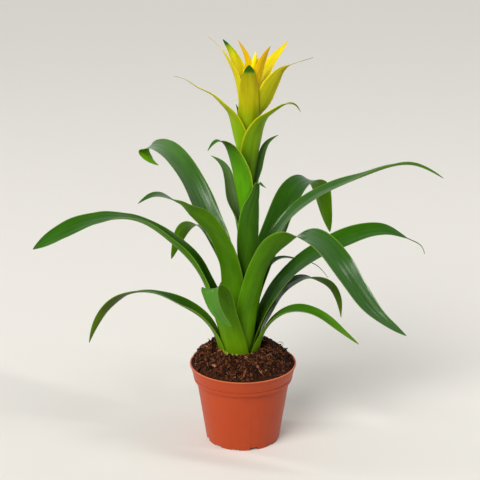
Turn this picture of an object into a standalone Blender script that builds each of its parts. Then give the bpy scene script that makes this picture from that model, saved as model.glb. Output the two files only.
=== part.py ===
"""A potted guzmania: a rosette of strap leaves and a bract-clad flower stem in a 12 cm nursery pot.

Millimetres and degrees here; the meshes are scaled to metres when they are made. Z is up, the pot
stands on z = 0 with its axis on the Z axis, and -Y is the front. Every leaf and bract is a blade: a
strip of constant thickness swept along a spine. Its foot is a sheath wrapped round the stem, and
each blade's foot lies outside the foot of the next blade up.
"""
import math
from dataclasses import dataclass, field

import bmesh
import bpy
import numpy as np

MM = 0.001
TOUCH_GAP = 0.3

# Pot: a 12 cm injection-moulded nursery pot with a collar and a slotted foot ring.
POT_HEIGHT = 90.9
POT_RIM_RADIUS = 60.0
POT_FOOT_RADIUS = 41.5
POT_WALL = 1.6
COLLAR_HEIGHT = 19.4
COLLAR_FOOT_RADIUS = 55.2
BODY_TOP_RADIUS = 52.4
LIP_HEIGHT = 2.0
LIP_STEP = 0.7
LIP_SLOPE = 0.6
RIM_BEVEL = 0.4
FOOT_RING_WIDTH = 3.0
FLOOR_HEIGHT = 3.4
SLOT_COUNT = 12
SLOT_WIDTH = 9.2
SLOT_LENGTH = 10.0
SLOT_FIRST_AZIMUTH = -72.5
DEEP_SLOT = 3.0
SHALLOW_SLOT = 1.5
DEEP_SLOT_EVERY = 3
POT_SEGMENTS = 48

# Potting mix: mounded round the plant, with a plain hole that the stem and the sheaths stand in.
SOIL_EDGE_HEIGHT = 88.4
SOIL_MOUND_HEIGHT = 21.5
SOIL_MOUND_RADIUS = 27.0
SOIL_MOUND_POWER = 2.2
SOIL_MOUND_TILT = 0.04
SOIL_HOLE_RADIUS = 25.2
SOIL_HOLE_FLOOR = 88.0
SOIL_SEGMENTS = 44
SOIL_RINGS = 9
SOIL_ROUGHNESS = 1.6

# Stem: a squat cone of leaf scars below the rosette, then the slender flower stem.
STEM_PROFILE = [(88.3, 22.0), (94.2, 22.0), (101.0, 13.3), (130.0, 11.0), (175.0, 6.0),
                (205.0, 5.5), (240.0, 5.0), (270.0, 4.7), (300.0, 4.5), (330.0, 4.35),
                (350.0, 4.0), (366.0, 3.6), (374.0, 3.1), (384.0, 2.6)]
STEM_SEGMENTS = 16
STEM_TOP = STEM_PROFILE[-1][0]

# The plant leans from its foot, left of the pot's axis, to its head, right of it.
LEAN_START = 110.0
LEAN_LENGTH = 130.0
LEAN_FOOT_X = -4.0
LEAN_TOTAL = 9.0

# Blade sections: the margin is thinner than the midrib line, and the tip is never a knife edge.
HALF_THICKNESS = 0.42
MARGIN_THINNING = 0.28
TIP_HALF_WIDTH = 0.5

# Flower buds: spindles on a domed core at the top of the stem, two of them taller than the rest.
# (azimuth, distance of the tip from the plant's axis, height of the tip, widest radius)
BUDS = [(-20, 9, 445, 3.3), (12, 11.5, 438, 2.3), (62, 4.6, 420, 2.1), (113, 4.6, 423, 2.1),
        (165, 4.6, 426, 2.1), (216, 4.6, 420, 2.1), (268, 4.6, 423, 2.1)]
BUD_SWELL = [(0.0, 0.5), (0.3, 0.85), (0.6, 1.0), (0.85, 0.72), (1.0, 0.2)]
BUD_SIDES = 8
BUD_FOOT_HEIGHT = 391.0
BUD_FOOT_DISTANCE = 1.0
BUD_FOOT_STAGGER = 0.4
CORE_PROFILE = [(0.0, 2.4), (4.0, 3.3), (10.0, 3.3), (16.0, 1.6)]
CORE_SEGMENTS = 12


@dataclass
class Blade:
    """One leaf or bract.

    azimuth     direction that it grows in, degrees from +X, -90 is the front
    spine       (distance from the plant's axis, height, extra turn in degrees) from foot to tip
    half_width  widest half width in mm; foot is its change at the foot, faded out by foot_end
    taper       (p, q) of the outline (1 - (t / blade_end)**p)**q
    blade_end   share of the length where the blade ends; the rest is a dried thread
    sheath      share of the length over which the blade stays wrapped round the stem
    cup         half angle of the cross-section's arc beyond the sheath, degrees by share of length
    roll        twist about the spine, degrees by share of length
    """
    azimuth: float
    spine: list
    half_width: float
    foot: float = 0.0
    foot_end: float = 0.25
    taper: tuple = (4, 0.8)
    blade_end: float = 1.0
    sheath: float = 0.2
    cup: list = field(default_factory=lambda: [(0, 25), (1, 25)])
    roll: list = field(default_factory=lambda: [(0, 0), (1, 0)])
    rows: int = 16
    columns: int = 6
    color: str = "#3F6B1F"


LEAF_GREEN = "#3E6A22"
LEAF_DEEP = "#2F5A1E"
LEAF_LIGHT = "#6C9A2C"
BRACT_GREEN = "#5F9A1C"
BRACT_DARK = "#3C6420"
BRACT_LIME = "#9AB41E"
BRACT_YELLOW = "#E2C21C"
BRACT_ORANGE = "#DDA51E"
POT_COLOR = "#C4552F"
SOIL_COLOR = "#4A2B1F"
STEM_COLOR = "#86A63C"
BLADE_ROUGHNESS = 0.38
POT_ROUGHNESS = 0.55
SOIL_ROUGH_FINISH = 0.95
STEM_ROUGHNESS = 0.5
BUD_ROUGHNESS = 0.45

# The rosette, lowest and outermost sheath first.
LEAVES = [
    # low on the left, arching over and hanging past the pot
    Blade(180, [(22, 95, 8), (28, 125, 4), (45, 148, 0), (70, 162, -2.5), (103, 172, -4.5),
                (131, 167, -6), (152, 150, -7), (164, 130, -7.5), (173.5, 104, -8)],
          13.5, foot=0.35, taper=(3, 0.9), cup=[(0, 50), (0.3, 45), (0.5, 20), (1, 15)],
          roll=[(0, 0), (0.35, 0), (0.62, 18), (0.8, 30), (1, 30)], color=LEAF_LIGHT),
    # low on the right
    Blade(-10, [(22, 95, -8), (25, 122, -5), (38, 147, -2), (60, 159, -1), (85, 155, -0.5),
                (112, 138, -0.5), (134, 122, -0.5)],
          12, foot=0.4, cup=[(0, 30), (1, 30)], roll=[(0, 0), (0.4, 0), (0.8, 5), (1, 5)]),
    # low at the back
    Blade(100, [(22, 95, 0), (25.3, 128, 0), (37.5, 150, 0), (58, 162, 0), (85, 155, 0),
                (110, 135, 0), (124, 112, 0)],
          12, cup=[(0, 30), (1, 30)]),
    # short front leaf, folded back over itself
    Blade(-105, [(20.7, 96, 0), (25, 130, -7), (38, 163, -15), (59, 195, -17), (74, 202, -15),
                 (80, 186, -8.5), (74, 162, 6)],
          14.5, foot=0.2, taper=(4, 0.9), cup=[(0, 30), (1, 30)],
          roll=[(0, 0), (0.35, 0), (0.6, 20), (0.8, 12), (1, 0)], rows=20, color=LEAF_LIGHT),
    # small leaf on the right, its end hooked down
    Blade(12, [(20.7, 96, -9), (24.5, 130, -5), (33, 151, -1), (43, 170, 0), (57, 183, 0),
               (72, 187, 0), (85, 183.5, 0), (99, 175.5, 0), (107.5, 165, 0), (113, 153, 0),
               (117, 135, 0)],
          12, foot=0.4, taper=(4, 1.1), roll=[(0, 0), (0.5, 0), (0.76, -34), (1, -34)],
          color=LEAF_DEEP),
    # back, in the second layer
    Blade(84, [(20.7, 96, 3), (23, 130, 2), (36, 165, 0), (62, 188, 1), (92, 184, 1),
               (115, 160, 1.5), (128, 130, 1.5)],
          13, foot=-0.15, cup=[(0, 30), (1, 30)]),
    # the longest on the left, a channel that opens and turns its face to the front
    Blade(180, [(19.4, 97, 0), (24, 135, 0), (36, 175, 3), (57, 213, 5), (85, 241, 5.5),
                (121, 263, 5), (163, 264, 5), (205, 249, 5), (234, 232, 5.5)],
          17, foot=0.1, taper=(10, 0.9), cup=[(0, 60), (0.3, 50), (0.42, 60), (0.66, 25), (1, 15)],
          roll=[(0, 0), (0.07, 0), (0.17, -18), (0.3, -8), (0.66, 10), (0.76, -6), (0.88, -26),
                (1, -36)],
          rows=18),
    # right, crossing in front of the large front leaf
    Blade(8, [(19.4, 97, 0), (24, 142, 0), (37, 177, 0), (60, 205, 0), (98, 228, 0),
              (137, 240.5, 0), (156.5, 240, 0), (172, 233.5, 0), (187, 226, 0), (197, 219.5, 0),
              (202, 210, 0)],
          18, taper=(5, 0.9), blade_end=0.89, roll=[(0, 0), (0.4, 5), (0.7, 22), (1, 22)], rows=18),
    # left at the back, its end bent straight down
    Blade(135, [(18.1, 98, -6), (19.5, 150, -8), (22.7, 184, -3), (30, 203, -2), (43, 219, -1),
                (56, 229, -1), (72, 235, -1), (88, 234.5, 0), (101, 226, 0.5), (109, 212.5, 0.5),
                (115, 187, 2.5)],
          14, taper=(5, 0.8), roll=[(0, 0), (0.55, 0), (0.78, 22), (1, 22)], rows=18),
    # thin leaf at the back right
    Blade(38, [(18.1, 98, 2), (20.4, 150, 6), (26.5, 182, 8), (38, 198, 8), (54, 203, 4),
               (74, 198, 0), (101, 186, -3), (117, 169, -5)],
          10, foot=0.3, taper=(1.6, 1.6), cup=[(0, 35), (1, 35)], color=LEAF_DEEP),
    # the large front leaf, up the middle and then sharply down to the right
    Blade(-45, [(16.8, 99, -20), (18.5, 136, -25), (20.6, 170, -24), (24.4, 191, -21),
                (31, 215, -15), (48, 241, -8), (75, 260, 0), (100, 259.5, 1), (127, 247, 0.5),
                (154, 221, 1), (182, 193, 4), (211, 174, 7.5)],
          19.5, foot=-0.4, foot_end=0.6, taper=(6, 0.9),
          cup=[(0, 35), (0.1, 40), (0.33, 70), (0.47, 35), (0.7, 15), (1, 15)],
          roll=[(0, 0), (0.34, 0), (0.45, -16), (0.57, 0), (1, 0)], rows=20, color=LEAF_GREEN),
    # front left, rising and then nodding
    Blade(-145, [(15.5, 100, 8), (16, 144, 8), (18.5, 187, 4), (29, 225, 0), (45, 255, 0),
                 (62, 274.5, 1), (82, 290, 2), (104, 303, 2.5), (127, 309.5, 3.5), (144, 304, 3.5)],
          14, foot=0.3, foot_end=0.45, taper=(5, 1), sheath=0.3,
          roll=[(0, 0), (0.3, 20), (0.5, 22), (0.67, 32), (0.79, 4), (0.88, -12), (1, -16)],
          rows=18),
    # right at the back, its end folded down
    Blade(48, [(15.5, 100, 2), (16.3, 130, 4), (17.3, 155, 6), (23, 187, 5), (39, 214, 4),
               (64, 248, 5), (92, 275, 6), (117, 279, 5.5), (136, 269, 5), (147, 243, 4.5),
               (156, 206, 2.5)],
          18, taper=(6, 0.8), sheath=0.28, rows=20, color=LEAF_DEEP),
    # the tall left leaf with the curled end
    Blade(135, [(14.2, 101, 0), (16, 160, 8), (22, 198, 14), (30.5, 222, 18), (48, 244, 10),
                (78, 282, 4), (116.5, 311, 1), (138, 316, -0.5), (157.5, 314, -1.5),
                (170.5, 308, -1.5), (175, 302.5, -1.5), (172, 299, -1.5), (164.5, 297, -0.5),
                (154, 295, 0.5), (144, 293, 0.5)],
          20.3, foot=-0.48, foot_end=0.55, taper=(3.8, 0.9),
          roll=[(0, 0), (0.62, 0), (0.78, -16), (0.86, -22), (0.91, 8), (1, 15)], rows=40,
          color=LEAF_DEEP),
    # the longest on the right, almost flat at its end
    Blade(10, [(14.2, 101, 0), (17, 176, -3), (24.5, 227, 0), (47, 262, 0), (81, 286, 0),
               (131, 304, 0.5), (184, 313, 0.5), (222, 294, 1)],
          15, taper=(5, 0.9), sheath=0.28, cup=[(0, 30), (1, 30)],
          roll=[(0, 0), (0.6, 0), (0.8, -18), (1, -20)], rows=18, color=LEAF_DEEP),
]

# Bracts that clasp the flower stem below the head, lowest first.
SCAPE_BRACTS = [
    Blade(-80, [(6.8, 188, -10), (9.5, 210, -14), (11.5, 232, -12), (13, 257, -4), (14.5, 280, 8),
                (17, 295, 20), (20, 305, 27), (24, 303, 30), (30, 302, 30)],
          15, foot=-0.2, foot_end=0.3, taper=(3, 1.2), sheath=0.75, cup=[(0, 40), (1, 40)],
          color=BRACT_GREEN),
    Blade(65, [(6.4, 205, 0), (9.3, 225, 0), (12.5, 250, 0), (15, 275, 0), (19, 298, 0),
               (26, 312, 0), (33, 318, 0)],
          9.5, foot=-0.2, foot_end=0.3, taper=(3, 1.2), sheath=0.6, cup=[(0, 35), (1, 35)],
          color=BRACT_DARK),
    Blade(155, [(6.4, 218, 0), (10, 240, 0), (13, 262, 2), (16.5, 276, 3), (20, 291, 4),
                (23, 305, 3), (27, 314, 0), (35, 322, 0), (44, 326, 0)],
          12.5, foot=-0.2, foot_end=0.3, taper=(3, 1.2), sheath=0.5, cup=[(0, 35), (1, 35)],
          roll=[(0, 0), (0.35, 0), (0.6, -26), (1, -30)], color=BRACT_DARK),
    Blade(-120, [(6, 240, -8), (8, 262, -8), (10, 280, -7), (12, 297, -2), (15, 313, 0),
                 (20, 329, -5), (27.5, 343, -8), (38, 353, -9), (50, 357, -10), (56, 355, -11),
                 (61, 348, -13.5)],
          13, foot=-0.2, foot_end=0.3, taper=(4, 1.2), sheath=0.5, cup=[(0, 30), (1, 30)],
          color=BRACT_GREEN),
    Blade(20, [(5.5, 265, 0), (7.2, 285, -5), (9.5, 298, -6), (11.5, 310, -5), (14, 322, -4),
               (17.5, 334, 0), (22, 342, 3), (28.5, 348, 0), (35, 351, 0)],
          9.5, foot=-0.2, foot_end=0.3, taper=(3, 1.2), sheath=0.5, cup=[(0, 30), (1, 30)],
          roll=[(0, 0), (0.35, 0), (0.6, 18), (1, 22)], color=BRACT_DARK),
    Blade(-50, [(5.6, 292, -10), (8.3, 317, -18), (10.8, 334, -15), (14, 352, -12), (17.5, 365, -3),
                (23.5, 375, 2), (33, 384, 10), (42, 391, 14), (50, 395, 16), (58, 394, 18),
                (64, 387, 19)],
          14, foot=-0.2, foot_end=0.3, taper=(3, 1.3), sheath=0.6, cup=[(0, 35), (1, 35)],
          color=BRACT_GREEN),
    Blade(-145, [(5.5, 312, 0), (8.3, 330, 6), (11, 345, 7), (13.4, 357, 8), (16.8, 368, 7),
                 (23, 381, 5), (33, 392, 2), (45, 404, -3), (61, 413, -5.5), (72, 421, -9),
                 (84, 425, -11)],
          13, foot=-0.05, foot_end=0.3, taper=(2, 2), sheath=0.35, cup=[(0, 28), (1, 28)],
          roll=[(0, 0), (0.15, 10), (0.3, 10), (0.5, 0), (1, 0)], color=BRACT_LIME),
    Blade(152, [(5.2, 326, 0), (6.6, 342, 0), (8.2, 356, 0), (9.8, 370, 0), (12, 380, 0),
                (14.5, 386, 0)],
          8, foot=-0.5, foot_end=0.6, taper=(3, 1.1), sheath=0.6, cup=[(0, 35), (1, 35)],
          color=BRACT_DARK),
]

# Bracts of the head, lowest first.
HEAD_BRACTS = [
    Blade(38,
          [(5, 336, 0), (7.8, 352, 0), (10.8, 370, 0), (14, 383, 0), (19, 392, 0), (24, 397, 0)],
          7.5, foot=-0.45, foot_end=0.5, taper=(3, 0.9), sheath=0.5, cup=[(0, 35), (1, 35)],
          color=BRACT_LIME),
    Blade(-92, [(5.3, 340, 0), (9, 352, 0), (11.8, 367, 4), (13.6, 381, 5), (14.7, 397, 8),
                (14.5, 412, 8), (13.5, 423, 8), (11, 432, 8)],
          12.3, foot=-0.55, foot_end=0.35, taper=(6, 0.75), sheath=0.95, cup=[(0, 50), (1, 50)],
          color=BRACT_LIME),
    Blade(-20, [(5.6, 346, -40), (7.4, 362, -34), (9.4, 374, -21), (12.5, 384, -11),
                (17.2, 392.5, -4), (23.3, 406.5, 1), (30, 418, 3.5), (36, 426, 5.5), (42, 430.5, 6),
                (52, 435, 7), (61, 438, 7), (69.5, 441, 7)],
          11.5, foot=-0.6, foot_end=0.6, taper=(4, 1.1), blade_end=0.8, sheath=0.35,
          cup=[(0, 32), (1, 32)], roll=[(0, 0), (0.18, -12), (0.38, -60), (0.6, -60), (1, -30)],
          rows=14, color=BRACT_LIME),
    Blade(190, [(4.7, 354, 22), (5.5, 364, 22), (7, 374, 22), (8.8, 386, 21), (10.3, 398, 20),
                (12.4, 412, 18), (17, 427, 14), (22, 437, 10), (27.5, 447, 6), (34, 454.5, 1),
                (42, 461, -4)],
          10.8, foot=-0.7, foot_end=0.8, taper=(4, 1.1), blade_end=0.86, sheath=0.5,
          cup=[(0, 35), (1, 35)], color=BRACT_YELLOW),
    Blade(130, [(4.6, 358, -11), (6, 380, -10), (8.2, 401, -9), (13, 420, -2), (20.5, 434, 3),
                (29, 445, 5), (37, 452.5, 6)],
          10, foot=-0.77, foot_end=0.6, taper=(4, 0.9), sheath=0.5, cup=[(0, 30), (1, 30)],
          color=BRACT_YELLOW),
    Blade(24, [(4.4, 366, -13), (7, 382, -1), (10.3, 392, 11), (15.2, 404, 15), (24.2, 419, 15),
               (34.2, 431, 15), (45, 440.2, 15), (55, 449, 15)],
          11.6, foot=-0.7, foot_end=0.5, taper=(3, 0.9), sheath=0.5, cup=[(0, 30), (1, 30)],
          color=BRACT_YELLOW),
    Blade(120, [(3.8, 374, 0), (4.8, 388, -24), (6.4, 402, -42), (9.8, 420, -40), (13.5, 436, -26),
                (18.5, 446, -10), (22.5, 453, -2)],
          6.5, foot=-0.5, foot_end=0.6, taper=(2, 1), sheath=0.5, cup=[(0, 30), (1, 30)],
          color=BRACT_ORANGE),
    Blade(-36, [(3.8, 374, 8), (6.3, 398, 14), (11, 419, 14), (17, 436, 12), (22, 446, 10),
                (26, 452, 10)],
          10, foot=-0.6, foot_end=0.5, taper=(2.5, 0.9), sheath=0.5, cup=[(0, 30), (1, 30)],
          roll=[(0, 0), (0.5, -25), (1, -25)], color=BRACT_ORANGE),
]
BRACT_ROWS = 12
ROW_CROWDING = 0.9
SCAPE_BRACT_COLUMNS = 6
HEAD_BRACT_COLUMNS = 4


def clear_scene():
    for item in list(bpy.data.objects):
        bpy.data.objects.remove(item, do_unlink=True)


def srgb_to_linear(code):
    """Linear RGBA from an sRGB hex colour such as "#3E6A22"."""
    parts = [int(code[i:i + 2], 16) / 255 for i in (1, 3, 5)]
    linear = [c / 12.92 if c <= 0.04045 else ((c + 0.055) / 1.055) ** 2.4 for c in parts]
    return (*linear, 1.0)


def make_material(name, color, roughness):
    material = bpy.data.materials.new(name)
    material.use_nodes = True
    shader = material.node_tree.nodes["Principled BSDF"]
    shader.inputs["Base Color"].default_value = srgb_to_linear(color)
    shader.inputs["Roughness"].default_value = roughness
    shader.inputs["Metallic"].default_value = 0.0
    return material


def make_object(name, vertices, faces, color, roughness, sharp=60):
    """A closed mesh object; vertices are in millimetres."""
    mesh = bpy.data.meshes.new(name)
    mesh.from_pydata([tuple(point) for point in np.asarray(vertices) * MM], [], faces)
    mesh.materials.append(make_material(name, color, roughness))
    work = bmesh.new()
    work.from_mesh(mesh)
    bmesh.ops.recalc_face_normals(work, faces=work.faces)
    work.to_mesh(mesh)
    work.free()
    mesh.shade_smooth()
    mesh.set_sharp_from_angle(angle=math.radians(sharp))
    item = bpy.data.objects.new(name, mesh)
    bpy.context.scene.collection.objects.link(item)
    return item


def ease(x):
    """Smooth step from 0 at x = 0 to 1 at x = 1."""
    x = np.clip(x, 0.0, 1.0)
    return x * x * (3 - 2 * x)


def eased(pairs, t):
    """Value at t of a list of (t, value) pairs, with a smooth step between neighbours."""
    stops = np.array(pairs, float)
    k = np.clip(np.searchsorted(stops[:, 0], t, side="right") - 1, 0, len(stops) - 2)
    share = ease((t - stops[k, 0]) / (stops[k + 1, 0] - stops[k, 0]))
    return stops[k, 1] * (1 - share) + stops[k + 1, 1] * share


def lean(z):
    """Sideways shift of the whole plant at height z."""
    return LEAN_FOOT_X + LEAN_TOTAL * ease((z - LEAN_START) / LEAN_LENGTH)


def natural_spline(points, t):
    """Points and tangents at t, 0 to 1, on the natural cubic spline through the given points."""
    points = np.asarray(points, float)
    chords = np.linalg.norm(np.diff(points, axis=0), axis=1)
    knots = np.concatenate([[0.0], np.cumsum(chords)]) / chords.sum()
    steps = np.diff(knots)
    count = len(points)
    system = np.eye(count)
    right = np.zeros_like(points)
    for i in range(1, count - 1):
        system[i, i - 1:i + 2] = steps[i - 1], 2 * (steps[i - 1] + steps[i]), steps[i]
        slope_in = (points[i] - points[i - 1]) / steps[i - 1]
        slope_out = (points[i + 1] - points[i]) / steps[i]
        right[i] = 6 * (slope_out - slope_in)
    bend = np.linalg.solve(system, right)
    k = np.clip(np.searchsorted(knots, t, side="right") - 1, 0, count - 2)
    step = steps[k][:, None]
    a = (knots[k + 1] - t)[:, None] / step
    b = 1 - a
    place = a * points[k] + b * points[k + 1]
    place += ((a ** 3 - a) * bend[k] + (b ** 3 - b) * bend[k + 1]) * step ** 2 / 6
    tangent = (points[k + 1] - points[k]) / step
    tangent += ((3 * b ** 2 - 1) * bend[k + 1] - (3 * a ** 2 - 1) * bend[k]) * step / 6
    return place, tangent / np.linalg.norm(tangent, axis=1)[:, None]


def blade_face(blade, t, u, offset):
    """Grid of points on one face of a blade.

    t runs from foot to tip and u from margin to margin, -1 to 1. The cross-section is an arc of
    radius w / a, where w is the half width and a the half angle: w over the distance to the
    plant's axis at the foot, which makes the sheath, fading to the blade's own cup angle.
    offset moves the face along its normal, toward the arc's centre where it is positive.
    """
    spine = np.array(blade.spine, float)
    angle = np.radians(blade.azimuth + spine[:, 2])
    points = np.stack([spine[:, 0] * np.cos(angle), spine[:, 0] * np.sin(angle), spine[:, 1]], -1)
    place, tangent = natural_spline(points, t)
    distance = np.hypot(place[:, 0], place[:, 1])
    around = np.stack([-place[:, 1], place[:, 0], 0 * t], -1) / distance[:, None]
    across = around - tangent * (tangent * around).sum(1)[:, None]
    across /= np.linalg.norm(across, axis=1)[:, None]
    inward = np.cross(tangent, across)
    roll = np.radians(eased(blade.roll, t))[:, None]
    side = np.cos(roll) * across + np.sin(roll) * inward
    inner = np.cos(roll) * inward - np.sin(roll) * across

    p, q = blade.taper
    width = blade.half_width * (1 + blade.foot * (1 - ease(t / blade.foot_end)))
    width = width * np.maximum(1 - (t / blade.blade_end) ** p, 0) ** q + TIP_HALF_WIDTH
    wrapped = np.exp(-(t / blade.sheath) ** 3)
    cup = np.radians(eased(blade.cup, t))
    half_angle = cup + (width / distance - cup) * wrapped
    radius = (width / half_angle)[:, None]
    theta = half_angle[:, None] * u
    sink = 0.5 * radius * (1 - np.cos(half_angle[:, None])) * (1 - wrapped[:, None])
    along_side = np.sin(theta) * (radius - offset)
    along_inner = radius - (radius - offset) * np.cos(theta) - sink
    face = place[:, None] + along_side[..., None] * side[:, None]
    face += along_inner[..., None] * inner[:, None]
    face[..., 0] += lean(face[..., 2])
    return face


def make_blade(name, blade, rows, columns):
    """A closed strip: both faces of the blade share one grid, joined round the margin."""
    t = np.linspace(0, 1, rows + 1) ** ROW_CROWDING
    u = np.linspace(-1, 1, columns + 1)
    half = HALF_THICKNESS * (1 - MARGIN_THINNING * u ** 2)
    upper = blade_face(blade, t, u, half).reshape(-1, 3)
    lower = blade_face(blade, t, u, -half).reshape(-1, 3)
    stride = columns + 1
    below = len(upper)
    faces = []
    for row in range(rows):
        for column in range(columns):
            a = row * stride + column
            b = a + 1
            c = a + stride + 1
            d = a + stride
            faces += [(a, b, c), (a, c, d)]
            faces += [(below + a, below + c, below + b), (below + a, below + d, below + c)]
    edge = list(range(stride))
    edge += [row * stride + columns for row in range(1, rows + 1)]
    edge += [rows * stride + column for column in range(columns - 1, -1, -1)]
    edge += [row * stride for row in range(rows - 1, 0, -1)]
    for a, b in zip(edge, edge[1:] + edge[:1]):
        faces += [(b, a, below + a), (b, below + a, below + b)]
    return make_object(name, np.vstack([upper, lower]), faces, blade.color, BLADE_ROUGHNESS)


def revolve(profile, segments, centre_x=None):
    """Vertices and faces of a profile of (height, radius) turned about the Z axis and capped.

    centre_x gives the x of each ring's centre from its height.
    """
    angles = np.arange(segments) * 2 * np.pi / segments
    vertices = []
    for height, radius in profile:
        x = centre_x(height) if centre_x else 0.0
        vertices += [(x + radius * math.cos(a), radius * math.sin(a), height) for a in angles]
    faces = []
    for ring in range(len(profile) - 1):
        for i in range(segments):
            j = (i + 1) % segments
            a = ring * segments
            faces.append((a + i, a + j, a + segments + j, a + segments + i))
    faces.append(tuple(range(segments - 1, -1, -1)))
    last = (len(profile) - 1) * segments
    faces.append(tuple(range(last, last + segments)))
    return vertices, faces


def body_radius(z):
    """Outer radius of the pot below its collar."""
    share = z / (POT_HEIGHT - COLLAR_HEIGHT)
    return POT_FOOT_RADIUS + (BODY_TOP_RADIUS - POT_FOOT_RADIUS) * share


def collar_radius(z):
    """Outer radius of the pot's collar below the lip."""
    share = (z - POT_HEIGHT + COLLAR_HEIGHT) / COLLAR_HEIGHT
    return COLLAR_FOOT_RADIUS + (POT_RIM_RADIUS - LIP_STEP - COLLAR_FOOT_RADIUS) * share


def pot_inner_profile():
    """(height, radius) down the inside of the pot, from the rim to the floor's edge."""
    step = POT_HEIGHT - COLLAR_HEIGHT
    rim = POT_RIM_RADIUS - POT_WALL
    floor = FLOOR_HEIGHT + POT_WALL
    above = step + POT_WALL
    below = step - POT_WALL
    return [(POT_HEIGHT - RIM_BEVEL, rim), (above, collar_radius(above) - POT_WALL),
            (below, body_radius(below) - POT_WALL), (floor, body_radius(floor) - POT_WALL)]


def make_pot():
    """Turned wall, collar, lip and floor; the slots of the foot ring are cut out."""
    step = POT_HEIGHT - COLLAR_HEIGHT
    lip = POT_HEIGHT - LIP_HEIGHT
    ring = POT_FOOT_RADIUS - FOOT_RING_WIDTH
    profile = [(FLOOR_HEIGHT, ring), (0.0, ring), (0.0, POT_FOOT_RADIUS), (step, BODY_TOP_RADIUS),
               (step, COLLAR_FOOT_RADIUS), (lip - LIP_SLOPE, collar_radius(lip - LIP_SLOPE)),
               (lip, POT_RIM_RADIUS), (POT_HEIGHT - RIM_BEVEL, POT_RIM_RADIUS),
               (POT_HEIGHT, POT_RIM_RADIUS - RIM_BEVEL),
               (POT_HEIGHT, POT_RIM_RADIUS - POT_WALL + RIM_BEVEL)]
    vertices, faces = revolve(profile + pot_inner_profile(), POT_SEGMENTS)
    pot = make_object("pot", vertices, faces, POT_COLOR, POT_ROUGHNESS, sharp=30)
    cutters = bpy.data.collections.new("foot slots")
    bpy.context.scene.collection.children.link(cutters)
    for number in range(SLOT_COUNT):
        depth = DEEP_SLOT if number % DEEP_SLOT_EVERY == 0 else SHALLOW_SLOT
        bpy.ops.mesh.primitive_cube_add(size=1)
        cutter = bpy.context.object
        cutter.name = f"foot_slot_{number + 1:02d}"
        cutter.scale = (SLOT_LENGTH * MM, SLOT_WIDTH * MM, 2 * depth * MM)
        angle = math.radians(SLOT_FIRST_AZIMUTH + number * 360 / SLOT_COUNT)
        reach = (POT_FOOT_RADIUS - FOOT_RING_WIDTH / 2) * MM
        cutter.location = (reach * math.cos(angle), reach * math.sin(angle), 0)
        cutter.rotation_euler = (0, 0, angle)
        cutter.hide_render = True
        cutter.display_type = "WIRE"
        for old in list(cutter.users_collection):
            old.objects.unlink(cutter)
        cutters.objects.link(cutter)
    cut = pot.modifiers.new("foot slots", "BOOLEAN")
    cut.operand_type = "COLLECTION"
    cut.collection = cutters
    cut.solver = "EXACT"
    return pot


def soil_height(radius, angle):
    """Top of the potting mix: a mound round the plant, with two sets of lumps on it that fade out
    toward the plant and the wall."""
    share = (radius - SOIL_MOUND_RADIUS) / (POT_RIM_RADIUS - POT_WALL - SOIL_MOUND_RADIUS)
    share = min(max(share, 0.0), 1.0)
    mound = SOIL_MOUND_HEIGHT * (1 - share ** SOIL_MOUND_POWER)
    mound *= 1 + SOIL_MOUND_TILT * math.sin(angle)
    lumps = math.sin(5 * angle + 0.13 * radius) * math.sin(0.42 * radius)
    lumps += 0.6 * math.sin(11 * angle - 0.3 * radius)
    lumps *= (1 - share ** 6) * min(1.0, 4 * share + 0.2)
    return SOIL_EDGE_HEIGHT + mound + SOIL_ROUGHNESS * lumps


def make_soil():
    """The mix fills the pot to 2 mm under its rim and has one plain hole for the plant."""
    top_radius = POT_RIM_RADIUS - POT_WALL - 2 * TOUCH_GAP
    angles = np.arange(SOIL_SEGMENTS) * 2 * np.pi / SOIL_SEGMENTS
    rings = [[(LEAN_FOOT_X + SOIL_HOLE_RADIUS * math.cos(a), SOIL_HOLE_RADIUS * math.sin(a),
               SOIL_HOLE_FLOOR) for a in angles]]
    for ring in range(SOIL_RINGS + 1):
        share = ring / SOIL_RINGS
        radius = SOIL_HOLE_RADIUS + (top_radius - SOIL_HOLE_RADIUS) * share
        shift = LEAN_FOOT_X * (1 - share)
        rings.append([(shift + radius * math.cos(a), radius * math.sin(a), soil_height(radius, a))
                      for a in angles])
    for height, radius in pot_inner_profile()[1:]:
        lower = max(height, FLOOR_HEIGHT + POT_WALL + TOUCH_GAP)
        inside = radius - TOUCH_GAP
        rings.append([(inside * math.cos(a), inside * math.sin(a), lower) for a in angles])
    vertices = [point for ring in rings for point in ring]
    faces = [tuple(range(SOIL_SEGMENTS - 1, -1, -1))]
    for ring in range(len(rings) - 1):
        for i in range(SOIL_SEGMENTS):
            a = ring * SOIL_SEGMENTS + i
            b = ring * SOIL_SEGMENTS + (i + 1) % SOIL_SEGMENTS
            faces += [(a, b, b + SOIL_SEGMENTS), (a, b + SOIL_SEGMENTS, a + SOIL_SEGMENTS)]
    last = (len(rings) - 1) * SOIL_SEGMENTS
    faces.append(tuple(range(last, last + SOIL_SEGMENTS)))
    return make_object("potting_mix", vertices, faces, SOIL_COLOR, SOIL_ROUGH_FINISH)


def make_stem():
    vertices, faces = revolve(STEM_PROFILE, STEM_SEGMENTS, lean)
    return make_object("stem", vertices, faces, STEM_COLOR, STEM_ROUGHNESS)


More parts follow.
